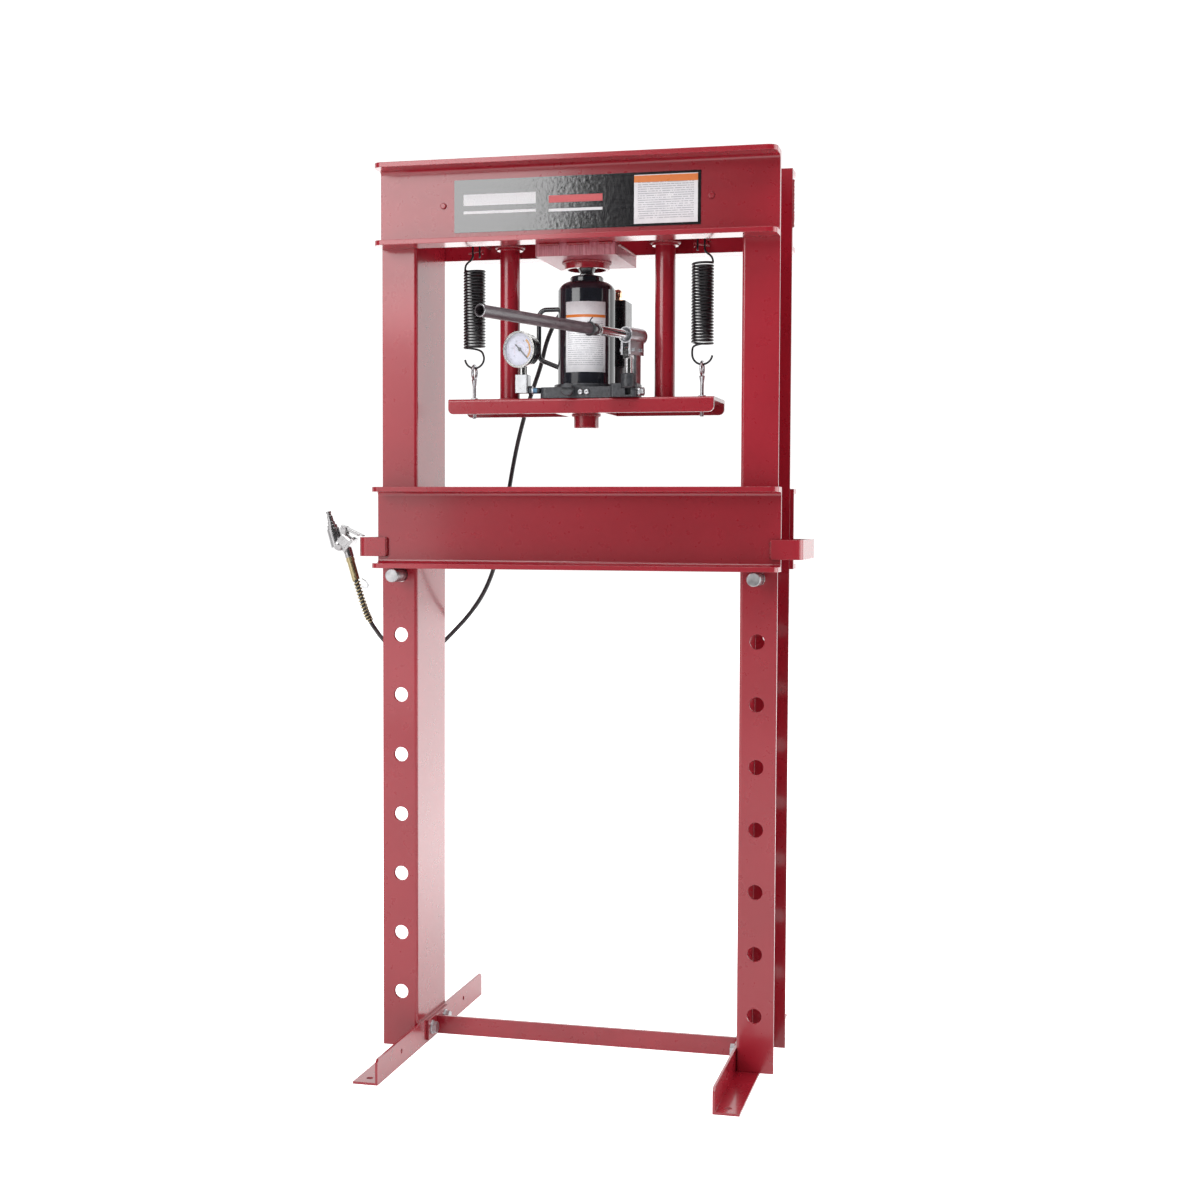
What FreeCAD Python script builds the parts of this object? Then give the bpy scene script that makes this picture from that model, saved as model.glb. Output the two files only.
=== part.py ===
import FreeCAD, Part
import math
import os
import re

import Sketcher
from FreeCAD import Placement, Rotation, Vector

# A 20 tonne H-frame shop press. Millimetres, +Z up, front towards -Y, and the origin
# on the floor, midway between the four anchor holes of the feet.

SIZES = [
    ("beam_top", 1488), ("frame_width", 670), ("upright_flange", 61), ("upright_depth", 150),
    ("upright_web", 5), ("channel_height", 135), ("channel_flange", 48), ("channel_web", 6),
    ("channel_thick", 8), ("channel_root", 6), ("channel_corner", 16), ("bed_length", 682),
    ("bed_gap", 0.5), ("hole_pitch", 101.6), ("hole_rows", 8), ("lowest_hole", 97),
    ("pin_hole", 24.4), ("pin_dia", 23), ("pin_length", 240), ("pin_lift", 0.3),
    ("foot_length", 550), ("foot_leg", 42), ("foot_thick", 4), ("anchor_dia", 11),
    ("anchor_back", 22), ("bolt_dia", 12), ("bolt_gap", 0.6), ("bolt_height", 23),
    ("tie_height", 31), ("tie_thick", 6), ("tie_plate", 4), ("block_width", 134),
    ("block_depth", 160), ("block_thick", 21), ("ring_dia", 76), ("ring_wall", 6),
    ("ring_height", 13), ("guide_spacing", 268), ("guide_dia", 34), ("guide_wall", 3),
    ("guide_top", 1508), ("guide_fit", 0.08), ("sleeve_dia", 44), ("sleeve_length", 66),
    ("bridge_thick", 8), ("bridge_width", 90), ("spring_spacing", 394), ("spring_dia", 38),
    ("spring_wire", 3.5), ("spring_top", 1327), ("spring_foot", 1192), ("hanger_dia", 8),
    ("hanger_height", 1376), ("plate_top", 1103), ("plate_length", 452), ("plate_depth", 108),
    ("plate_height", 25), ("plate_thick", 6), ("nose_dia", 42), ("nose_height", 23),
    ("pad_width", 84), ("base_thick", 18), ("reservoir_dia", 96),
    ("reservoir_wall", 3), ("cylinder_dia", 60), ("ram_dia", 42), ("piston_dia", 46),
    ("ram_fit", 0.05), ("gland_dia", 56), ("gland_height", 18), ("saddle_dia", 36),
    ("screw_dia", 24), ("pump_dia", 25), ("plunger_dia", 13), ("lever_arm", 22),
    ("cheek_gap", 11), ("cheek_thick", 4), ("socket_dia", 27), ("rod_dia", 15),
    ("grip_dia", 18), ("lever_pin", 7), ("socket_rise", 24), ("gauge_dia", 61), ("gauge_thick", 25),
    ("strap_height", 32), ("strap_thick", 6), ("strap_bend", 15), ("strap_reach", 376),
    ("hose_dia", 7.5), ("ferrule_dia", 13),
]

doc = FreeCAD.newDocument("shop_press")
sheet = doc.addObject("Spreadsheet::Sheet", "Sizes")
for row, (alias, amount) in enumerate(SIZES, start=1):
    sheet.set(f"A{row}", alias)
    sheet.set(f"B{row}", str(amount))
    sheet.setAlias(f"B{row}", alias)
doc.recompute()

ALIASES = re.compile(r"\b(" + "|".join(alias for alias, _ in SIZES) + r")\b")
WORLD = Placement()
ACROSS = Rotation(Vector(1, 1, 1), 120)  # turns X to Y, Y to Z and Z to X
sub_parts = []


def size(alias):
    """A driving size, read back from the sheet."""
    return float(getattr(sheet, alias))


def bind(obj, name, text):
    """Bind one property of an object to a formula of the sheet's aliases."""
    obj.setExpression(name, ALIASES.sub(r"Sizes.\1", str(text)))
    return obj


def finished(obj, label):
    """Name an object as one of the press's sub-parts."""
    obj.Label = label
    sub_parts.append(obj)
    return obj


def box(corner, sides, frame=WORLD):
    """A box with its lowest corner at a place of the frame, its sides bound to formulas."""
    obj = doc.addObject("Part::Box", "Box")
    for name, text in zip(("Length", "Width", "Height"), sides):
        bind(obj, name, text)
    obj.Placement = frame.multiply(Placement(Vector(*corner), Rotation()))
    return obj


def rod(start, way, diameter, length, frame=WORLD):
    """A cylinder from a start point along a way, its diameter and length bound to formulas."""
    obj = doc.addObject("Part::Cylinder", "Rod")
    bind(obj, "Radius", f"({diameter}) / 2")
    bind(obj, "Height", length)
    turn = Rotation(Vector(0, 0, 1), Vector(*way))
    obj.Placement = frame.multiply(Placement(Vector(*start), turn))
    return obj


def fused(parts):
    """Several solids welded or cast into one."""
    obj = doc.addObject("Part::MultiFuse", "Fused")
    obj.Shapes = parts
    return obj


def cut(base, tools):
    """A solid with one or several tools taken out of it."""
    tool = tools[0] if len(tools) == 1 else fused(tools)
    obj = doc.addObject("Part::Cut", "Cut")
    obj.Base, obj.Tool = base, tool
    return obj


def rounded(base, radius, wanted):
    """Round the edges of a solid that pass a test."""
    doc.recompute()
    obj = doc.addObject("Part::Fillet", "Rounded")
    obj.Base = base
    numbers = [i for i, edge in enumerate(base.Shape.Edges, start=1) if wanted(edge)]
    obj.Edges = [(i, radius, radius) for i in numbers]
    return obj


def bevelled(base, amount, wanted):
    """Bevel the edges of a solid that pass a test."""
    doc.recompute()
    obj = doc.addObject("Part::Chamfer", "Bevelled")
    obj.Base = base
    numbers = [i for i, edge in enumerate(base.Shape.Edges, start=1) if wanted(edge)]
    obj.Edges = [(i, amount, amount) for i in numbers]
    return obj


def grouped(parts, label):
    """Separate solids kept as one node, such as a set of bolts."""
    obj = doc.addObject("Part::Compound", "Group")
    obj.Links = parts
    return finished(obj, label)


def shaped(shape, label):
    """A sub-part whose shape is worked out here from the sheet's sizes."""
    obj = doc.addObject("Part::Feature", "Shaped")
    obj.Shape = shape
    return finished(obj, label)


def runs_along(edge, axis, least=0.0):
    """Whether an edge is a straight one along an axis, at least so long."""
    if not isinstance(edge.Curve, Part.Line):
        return False
    way = edge.tangentAt(edge.FirstParameter)
    return abs(abs(way.dot(Vector(*axis))) - 1) < 1e-6 and edge.Length > least


def is_circle(edge, diameter):
    """Whether an edge is a circle of a diameter."""
    return isinstance(edge.Curve, Part.Circle) and abs(edge.Curve.Radius * 2 - diameter) < 1e-3


# --- PartDesign helpers -------------------------------------------------------------


def new_body(label):
    """A PartDesign body that becomes a sub-part."""
    return finished(doc.addObject("PartDesign::Body", "Body"), label)


def plane_of(body, role):
    """One of a body's own origin planes."""
    return next(f for f in body.Origin.OriginFeatures if f.Role == role)


def outline(body, role, corners):
    """A closed sketch of straight sides whose every corner is bound to the sheet."""
    sketch = body.newObject("Sketcher::SketchObject", "Outline")
    sketch.AttachmentSupport = [(plane_of(body, role), "")]
    sketch.MapMode = "FlatFace"
    count = len(corners)
    for i in range(count):
        here, there = Vector(10 * i, 7 * i * i, 0), Vector(10 * i + 10, 7 * (i + 1) ** 2, 0)
        if i == count - 1:
            there = Vector(0, 0, 0)
        sketch.addGeometry(Part.LineSegment(here, there), False)
    for i in range(count):
        sketch.addConstraint(Sketcher.Constraint("Coincident", i, 2, (i + 1) % count, 1))
    for i, corner in enumerate(corners):
        for kind, text in zip(("DistanceX", "DistanceY"), corner):
            number = sketch.addConstraint(Sketcher.Constraint(kind, -1, 1, i, 1, 1.0 + i))
            bind(sketch, f"Constraints[{number}]", text)
    return sketch


def circles(body, role, centres, diameter):
    """A sketch of circles of one bound diameter."""
    sketch = body.newObject("Sketcher::SketchObject", "Circles")
    sketch.AttachmentSupport = [(plane_of(body, role), "")]
    sketch.MapMode = "FlatFace"
    for i, centre in enumerate(centres):
        sketch.addGeometry(Part.Circle(Vector(1 + i, 1, 0), Vector(0, 0, 1), 5), False)
        for kind, text in zip(("DistanceX", "DistanceY"), centre):
            number = sketch.addConstraint(Sketcher.Constraint(kind, -1, 1, i, 3, 1.0 + i))
            bind(sketch, f"Constraints[{number}]", text)
        number = sketch.addConstraint(Sketcher.Constraint("Diameter", i, 10.0))
        bind(sketch, f"Constraints[{number}]", diameter)
    return sketch


def pad(body, sketch, length):
    """Pad a sketch by a bound length."""
    feature = body.newObject("PartDesign::Pad", "Pad")
    feature.Profile = sketch
    bind(feature, "Length", length)
    doc.recompute()
    return feature


def pocket_through(body, sketch):
    """Pocket a sketch right through, both ways, and make sure that it cut something."""
    before = body.Shape.Volume
    feature = body.newObject("PartDesign::Pocket", "Pocket")
    feature.Profile = sketch
    feature.Type = 1
    feature.Midplane = True
    doc.recompute()
    assert body.Shape.Volume < before - 1, f"{body.Label}: a pocket cut nothing"
    return feature


def soften(body, base, alias, wanted):
    """Fillet the edges of a body's last feature that pass a test, by a bound radius."""
    feature = body.newObject("PartDesign::Fillet", "Soft")
    names = [f"Edge{i}" for i, edge in enumerate(base.Shape.Edges, start=1) if wanted(edge)]
    feature.Base = (base, names)
    bind(feature, "Radius", alias)
    doc.recompute()
    return feature


# --- the frame ----------------------------------------------------------------------

UPRIGHT_X = "(frame_width / 2 - upright_flange)"  # the web's inner face
HOLE_X = "(frame_width / 2 - upright_flange / 2 - 1.5)"
top_hole = size("lowest_hole") + (size("hole_rows") - 1) * size("hole_pitch")
inner_face = size("frame_width") / 2 - size("upright_flange")
hole_x = size("frame_width") / 2 - size("upright_flange") / 2 - 1.5
BOLT_Y = (-22, 46)


def upright(label, side):
    """A channel on end: the web faces the press's middle and the flanges point outwards."""
    body = new_body(label)
    near, far = f"{side} * {UPRIGHT_X}", f"{side} * frame_width / 2"
    back = f"{side} * ({UPRIGHT_X} + upright_web)"
    half, inside = "upright_depth / 2", "(upright_depth / 2 - upright_web)"
    profile = outline(body, "XY_Plane", [
        (near, f"-{half}"), (far, f"-{half}"), (far, f"-{inside}"), (back, f"-{inside}"),
        (back, inside), (far, inside), (far, half), (near, half),
    ])
    column = pad(body, profile, "beam_top - foot_thick")
    bent = lambda e: runs_along(e, (0, 0, 1)) and abs(abs(e.CenterOfMass.x) - inner_face) < 0.1
    soften(body, column, "upright_web", bent)
    # the body stands on the foot, so heights inside it are counted from the foot's top
    row = circles(body, "XZ_Plane", [(f"{side} * {HOLE_X}", "lowest_hole - foot_thick")], "pin_hole")
    first = pocket_through(body, row)
    pattern = body.newObject("PartDesign::LinearPattern", "Rows")
    pattern.Originals = [first]
    pattern.Direction = (row, ["V_Axis"])
    bind(pattern, "Length", "hole_pitch * (hole_rows - 1)")
    bind(pattern, "Occurrences", "hole_rows")
    body.Tip = pattern
    doc.recompute()
    bolts = circles(body, "YZ_Plane", [(y, "bolt_height - foot_thick") for y in BOLT_Y],
                    "bolt_dia + 2 * bolt_gap")
    pocket_through(body, bolts)
    body.Placement = Placement(Vector(0, 0, size("foot_thick")), Rotation())
    return body


def channel(label, length, web_y, side, base_z):
    """A lying channel: its web stands at web_y and its flanges point to the front or back."""
    body = new_body(label)
    out, deep = f"{side} * channel_flange", f"{side} * channel_web"
    profile = outline(body, "XY_Plane", [
        (0, 0), (out, 0), (out, "channel_thick"), (deep, "channel_thick"),
        (deep, "channel_height - channel_thick"), (out, "channel_height - channel_thick"),
        (out, "channel_height"), (0, "channel_height"),
    ])
    beam = pad(body, profile, length)
    web, tip = size("channel_web"), size("channel_flange")
    root = lambda e: (runs_along(e, (0, 0, 1), 100)
                      and abs(abs(e.CenterOfMass.x) - web) < 0.1
                      and 1 < e.CenterOfMass.y < size("channel_height") - 1)
    inner = soften(body, beam, "channel_root", root)
    corner = lambda e: runs_along(e, (0, 1, 0)) and abs(abs(e.CenterOfMass.x) - tip) < 0.1
    soften(body, inner, "channel_corner", corner)
    start = Vector(-body.Shape.BoundBox.ZLength / 2, web_y, base_z)
    body.Placement = Placement(start, ACROSS)
    return body


def foot(label, side):
    """An angle iron: one leg stands inside the upright's web, the other lies under it."""
    web, thick, leg = inner_face, size("foot_thick"), size("foot_leg")
    half = size("foot_length") / 2
    inner_x = side * (web - thick)
    outer_x = side * (web - thick + leg)
    low_x, high_x = min(inner_x, outer_x), max(inner_x, outer_x)
    stand_x = min(inner_x, side * web)
    lying = box((low_x, -half, 0), ("foot_leg", "foot_length", "foot_thick"))
    standing = box((stand_x, -half, 0), ("foot_thick", "foot_length", "foot_leg"))
    nose = lambda e: (runs_along(e, (1, 0, 0)) and e.CenterOfMass.z > leg - 0.1
                      and abs(abs(e.CenterOfMass.y) - half) < 0.1)
    standing = bevelled(standing, thick * 1.5, nose)
    angle = fused([lying, standing])
    anchor_y = half - size("anchor_back")
    anchors = [rod((side * (web + 17), y, -1), (0, 0, 1), "anchor_dia", "foot_thick + 2")
               for y in (-anchor_y, anchor_y)]
    small = [rod((stand_x - 1, y, size("bolt_height")), (1, 0, 0), "anchor_dia - 3", "foot_thick + 2")
             for y in (-164, 164)]
    bolted = [rod((stand_x - 1, y, size("bolt_height")), (1, 0, 0), "bolt_dia + 2 * bolt_gap",
                  "foot_thick + 2") for y in BOLT_Y]
    return finished(cut(angle, anchors + small + bolted), label)


def tie_bar():
    """The flat bar between the feet, with an end plate on each foot's standing leg."""
    reach = inner_face - size("foot_thick")
    plate, tall = size("tie_plate"), size("tie_height")
    bar = box((-reach, 3, 5), (f"{2 * reach}", "tie_thick", "tie_height"))
    pieces = [bar]
    holes = []
    for side in (-1, 1):
        x = side * reach if side < 0 else reach - plate
        pieces.append(box((x, BOLT_Y[0] - 18, 5), ("tie_plate", "104", "tie_height + 3")))
        holes += [rod((x - 1, y, size("bolt_height")), (1, 0, 0), "bolt_dia + 2 * bolt_gap",
                      "tie_plate + 2") for y in BOLT_Y]
    return finished(cut(fused(pieces), holes), "tie_bar")


def hexagon(centre, way, across, thick, bore=0.0):
    """A bolt head or nut: a six-sided prism, with a bore through a nut."""
    turn = Rotation(Vector(0, 0, 1), Vector(*way))
    radius = across / math.sqrt(3)
    points = [Vector(radius * math.cos(math.radians(60 * i)), radius * math.sin(math.radians(60 * i)), 0)
              for i in range(6)]
    solid = Part.Face(Part.makePolygon(points + points[:1])).extrude(Vector(0, 0, thick))
    if bore:
        solid = solid.cut(Part.makeCylinder(bore / 2, thick))
    solid.Placement = Placement(Vector(*centre), turn)
    return solid


def foot_fasteners():
    """Four bolts and their nuts, through tie bar, foot and upright."""
    dia, solids = size("bolt_dia"), []
    inside = inner_face - size("foot_thick") - size("tie_plate")
    outside = inner_face + size("upright_web")
    for side in (-1, 1):
        for y in BOLT_Y:
            washer = Part.makeCylinder(12, 2, Vector(side * inside, y, size("bolt_height")),
                                       Vector(-side, 0, 0))
            head = hexagon((side * (inside - 2), y, size("bolt_height")), (-side, 0, 0), 18, 7.5)
            shank = Part.makeCylinder(dia / 2, outside + 14 - inside + 2,
                                      Vector(side * (inside - 2), y, size("bolt_height")),
                                      Vector(side, 0, 0))
            nut = hexagon((side * outside, y, size("bolt_height")), (side, 0, 0), 18, 9, dia + 0.1)
            solids += [washer.fuse(head).fuse(shank).removeSplitter(), nut]
    return shaped(Part.makeCompound(solids), "foot_fasteners")


def head_frame():
    """Uprights, top beams, head block, ring, guide bridges and spring hangers."""
    base_z = size("beam_top") - size("channel_height")
    half = size("upright_depth") / 2
    upright("upright_left", -1)
    upright("upright_right", 1)
    channel("top_beam_front", "frame_width", -half, -1, base_z)
    channel("top_beam_rear", "frame_width", half, 1, base_z)
    block_z = base_z - size("block_thick")
    block = box((-size("block_width") / 2, -size("block_depth") / 2, block_z),
                ("block_width", "block_depth", "block_thick"))
    finished(block, "head_block")
    ring_z = block_z - size("ring_height")
    ring = cut(rod((0, 0, ring_z), (0, 0, 1), "ring_dia", "ring_height"),
               [rod((0, 0, ring_z - 1), (0, 0, 1), "ring_dia - 2 * ring_wall", "ring_height + 2")])
    finished(ring, "locating_ring")
    for side, label in ((-1, "guide_bridge_left"), (1, "guide_bridge_right")):
        x = side * size("guide_spacing") / 2
        bridge_z = base_z + 40
        plate = box((x - size("bridge_width") / 2, -half, bridge_z),
                    ("bridge_width", "upright_depth", "bridge_thick"))
        sleeve = rod((x, 0, base_z + 2), (0, 0, 1), "sleeve_dia", "sleeve_length")
        bore = rod((x, 0, base_z), (0, 0, 1), "guide_dia + 2 * guide_fit", "sleeve_length + 10")
        finished(cut(fused([plate, sleeve]), [bore]), label)
    hangers = [rod((side * (size("spring_spacing") / 2 - 3), -half, size("hanger_height")),
                   (0, 1, 0), "hanger_dia", "upright_depth") for side in (-1, 1)]
    grouped(hangers, "spring_hangers")


def front_trim():
    """Two plug heads on the front beam, and the blank board between them."""
    face = -size("upright_depth") / 2 - size("channel_web")
    plugs = []
    for x in (-225, 225):
        head = rod((x, face, 1420), (0, -1, 0), "10", "3")
        plugs.append(rounded(head, 1.4, lambda e: is_circle(e, 10) and e.CenterOfMass.y < face - 2))
    grouped(plugs, "beam_plugs")
    board = box((-206, face - 0.8, 1375), ("414", "0.8", "86"))
    finished(board, "name_board")


# --- the moving head: plate, guides, jack ----------------------------------------------


def press_plate():
    """The plate that the jack pushes down, with its pad, nose, guides and eye bolts."""
    top, tall, thick = size("plate_top"), size("plate_height"), size("plate_thick")
    half_x, half_y = size("plate_length") / 2, size("plate_depth") / 2
    block = box((-half_x, -half_y, top - tall), ("plate_length", "plate_depth", "plate_height"))
    hollow = box((-half_x - 1, -half_y + thick, top - tall - 1),
                 ("plate_length + 2", "plate_depth - 2 * plate_thick", "plate_height - plate_thick + 1"))
    shell = cut(block, [hollow])
    low = lambda e: (runs_along(e, (0, 1, 0)) and e.CenterOfMass.z < top - tall + 1
                     and abs(abs(e.CenterOfMass.x) - half_x) < 0.1)
    shell = rounded(shell, 9, low)
    bent = lambda e: (runs_along(e, (1, 0, 0), 100) and e.CenterOfMass.z > top - 0.1)
    shell = rounded(shell, 4, bent)
    eyes = [rod((side * size("spring_spacing") / 2, 0, top - 10), (0, 0, 1), "9", "12")
            for side in (-1, 1)]
    finished(cut(shell, eyes), "press_plate")
    pad_z = top - tall
    pad_sides = ("pad_width", "plate_depth - 2 * plate_thick", "plate_height - plate_thick")
    finished(box((-size("pad_width") / 2, thick - half_y, pad_z), pad_sides), "plate_pad")
    nose = rod((0, 0, pad_z - size("nose_height")), (0, 0, 1), "nose_dia", "nose_height")
    tip = lambda e: is_circle(e, size("nose_dia")) and e.CenterOfMass.z < pad_z - 1
    finished(rounded(nose, 2, tip), "press_nose")
    for side, label in ((-1, "guide_tube_left"), (1, "guide_tube_right")):
        x = side * size("guide_spacing") / 2
        tube = cut(rod((x, 0, top), (0, 0, 1), "guide_dia", "guide_top - plate_top"),
                   [rod((x, 0, top - 1), (0, 0, 1), "guide_dia - 2 * guide_wall",
                        "guide_top - plate_top + 2")])
        finished(tube, label)


EYE_Z = size("plate_top") + 49


def eye_bolts():
    """Eye bolts for the springs' lower hooks, each with a nut above and below the plate."""
    top, under, solids = size("plate_top"), size("plate_top") - size("plate_thick"), []
    for side in (-1, 1):
        x = side * size("spring_spacing") / 2
        ring = Part.makeTorus(11.5, 2.5, Vector(x, 0, EYE_Z), Vector(1, 0, 0))
        shank = Part.makeCylinder(3, EYE_Z - 11 - (under - 24), Vector(x, 0, under - 24))
        throat = Part.makeCone(3, 5, 12, Vector(x, 0, EYE_Z - 24))
        solids.append(ring.fuse([shank, throat]).removeSplitter())
        solids.append(hexagon((x, 0, top), (0, 0, 1), 11, 5, 6.2))
        solids.append(hexagon((x, 0, under - 6), (0, 0, 1), 11, 6, 6.2))
    return shaped(Part.makeCompound(solids), "spring_eye_bolts")


def spring(label, side):
    """The outer shape of a close-wound tension spring, with a hook at each end."""
    x, wire, outer = side * size("spring_spacing") / 2, size("spring_wire"), size("spring_dia") / 2
    foot_z, head_z, hang_z = size("spring_foot"), size("spring_top"), size("hanger_height")
    coil = Part.makeCylinder(outer, head_z - foot_z, Vector(x, 0, foot_z))
    coil = coil.cut(Part.makeCylinder(outer - wire - 0.6, head_z - foot_z, Vector(x, 0, foot_z)))
    # the upper end leaves the coil's outer side, rises on the axis and turns over the hanger
    loop, mean = (size("hanger_dia") + wire) / 2 + 0.3, outer - wire / 2 - 0.3
    rise, fall = x + side * (loop - 3), x - side * (loop + 3)
    crest = hang_z + loop
    bends = [5, 8, loop, loop]
    upper = rounded_path([(x + side * mean, 0, head_z - 3), (x + side * mean, 0, head_z + 6),
                          (rise, 0, head_z + 20), (rise, 0, crest), (fall, 0, crest),
                          (fall, 0, hang_z - 30)], lambda i, before, after, half: bends[i - 1])
    # the lower end is an open ring of the coil's own width, through the eye
    middle, low = foot_z - mean + 1, foot_z - 2 * mean + 1
    arc = Part.Arc(Vector(x - side * 9, 0, middle + math.sqrt(mean**2 - 81)), Vector(x, 0, low),
                   Vector(x + side * mean, 0, middle))
    lower = Part.Wire([arc.toShape()])
    solid = coil.fuse([sweep(upper, wire), sweep(lower, wire)]).removeSplitter()
    return shaped(solid, label)


JACK_RADIUS = size("reservoir_dia") / 2
base_top = size("plate_top") + size("base_thick")
SHOULDER_Z = 1284
DOME_Z = 1299
GLAND_Z = 1291


def jack_casting():
    """The cast base, with the pump's boss at the front right and the motor's foot behind."""
    top, thick = size("plate_top"), size("base_thick")
    slab = box((-68, -54, top), ("136", "116", "base_thick"))
    boss = box((56, -66, top), ("44", "46", "base_thick + 4"))
    heel = box((8, 56, top), ("48", "50", "base_thick"))
    column = rod((32, 80, top), (0, 0, 1), "40", "base_thick + 42")
    corner = lambda e: runs_along(e, (0, 0, 1))
    slab, boss = rounded(slab, 12, corner), rounded(boss, 5, corner)
    heel = rounded(heel, 6, corner)
    collar = rod((0, 0, top + thick - 2), (0, 0, 1), "reservoir_dia + 12", "8")
    casting = fused([slab, boss, heel, column, collar])
    doc.recompute()
    seat = rod((0, 0, top + thick), (0, 0, 1), "reservoir_dia", "10")
    barrel = rod((PUMP[0], PUMP[1], BARREL_Z), (0, 0, 1), "pump_dia + 0.1", "40")
    return finished(cut(casting, [seat, barrel] + casting_bores()), "jack_base")


def casting_bores():
    """Bores in the casting for the plunger and the release screw."""
    pump_x, pump_y = PUMP
    plunger = rod((pump_x, pump_y, size("plate_top") + 3), (0, 0, 1), "plunger_dia + 0.6", "30")
    release = rod((RELEASE_X, -55, RELEASE_Z), (0, 1, 0), "8.1", "16")
    return [plunger, release]


def jack_shell():
    """Reservoir with a domed shoulder, pressure cylinder and gland nut, all round one axis."""
    wall, low = size("reservoir_wall"), base_top
    r_out, r_top = JACK_RADIUS, size("gland_dia") / 2 - 6
    outer = [Vector(r_out, 0, low), Vector(r_out, 0, SHOULDER_Z)]
    bulge = Vector(r_out - 6.5, 0, SHOULDER_Z + 10)
    crest = Vector(size("gland_dia") / 2 + 0.2, 0, DOME_Z)
    inner = [Vector(r_top, 0, DOME_Z), Vector(r_top, 0, DOME_Z - 4)]
    under = [Vector(r_out - wall, 0, SHOULDER_Z - 2), Vector(r_out - wall, 0, low)]
    dome = Part.Arc(outer[1], bulge, crest).toShape()
    inside = Part.Arc(inner[1], Vector(r_out - wall - 7, 0, SHOULDER_Z + 5), under[0]).toShape()
    line = lambda a, b: Part.LineSegment(a, b).toShape()
    edges = [line(*outer), dome, line(crest, inner[0]), line(*inner), inside, line(*under),
             line(under[1], outer[0])]
    profile = Part.Face(Part.Wire(edges))
    shaped(profile.revolve(Vector(), Vector(0, 0, 1), 360), "jack_reservoir")
    tall = GLAND_Z - low - 1
    tube = cut(rod((0, 0, low), (0, 0, 1), "cylinder_dia", f"{tall}"),
               [rod((0, 0, low), (0, 0, 1), "piston_dia + 2 * ram_fit", f"{tall}")])
    # the tube narrows under the gland so that it passes the reservoir's mouth
    neck = cut(rod((0, 0, DOME_Z - 14), (0, 0, 1), "cylinder_dia + 2", "30"),
               [rod((0, 0, DOME_Z - 14), (0, 0, 1), "gland_dia - 12.6", "30")])
    finished(cut(tube, [neck]), "jack_cylinder")
    cap = rod((0, 0, DOME_Z), (0, 0, 1), "gland_dia", "gland_height / 2")
    cap = bevelled(cap, 2.5, lambda e: is_circle(e, size("gland_dia")) and e.CenterOfMass.z > DOME_Z + 1)
    bore = rod((0, 0, DOME_Z - 20), (0, 0, 1), "ram_dia + 2 * ram_fit", "40")
    finished(cut(cap, [bore]), "jack_gland_nut")


def ram():
    """The ram and its piston, and the extension screw whose saddle meets the head block."""
    top = size("beam_top") - size("channel_height") - size("block_thick")
    low = base_top + 3
    piston = rod((0, 0, low), (0, 0, 1), "piston_dia", "18")
    shaft = rod((0, 0, low), (0, 0, 1), "ram_dia", f"{DOME_Z + 10 - low}")
    bore = rod((0, 0, low + 60), (0, 0, 1), "screw_dia + 0.4", "200")
    finished(cut(fused([piston, shaft]), [bore]), "jack_ram")
    screw = rod((0, 0, low + 62), (0, 0, 1), "screw_dia", f"{top - 20 - low - 62}")
    cone = doc.addObject("Part::Cone", "Cone")
    bind(cone, "Radius1", "screw_dia / 2 - 1.5")
    bind(cone, "Radius2", "saddle_dia / 2 - 3")
    bind(cone, "Height", "10")
    cone.Placement = Placement(Vector(0, 0, top - 20), Rotation())
    cap = rod((0, 0, top - 10), (0, 0, 1), "saddle_dia", "10")
    cap = rounded(cap, 1.5, lambda e: is_circle(e, size("saddle_dia")) and e.CenterOfMass.z < top - 5)
    finished(fused([screw, cone, cap]), "extension_screw")


# --- the hand pump ------------------------------------------------------------------------

HANDLE_WAY = Vector(-0.349, -0.937, 0).normalize()  # the handle points to the front left
PUMP = (86, -61)
PIN_Z = 1179
BARREL_Z = 1117
RELEASE_X, RELEASE_Z = -16, 1116
fulcrum = Vector(PUMP[0], PUMP[1], PIN_Z) - HANDLE_WAY * size("lever_arm")
# in this frame the handle points along +X, and the fulcrum pin lies along Y at the origin
LEVER = Placement(fulcrum, Rotation(Vector(1, 0, 0), HANDLE_WAY))


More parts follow.
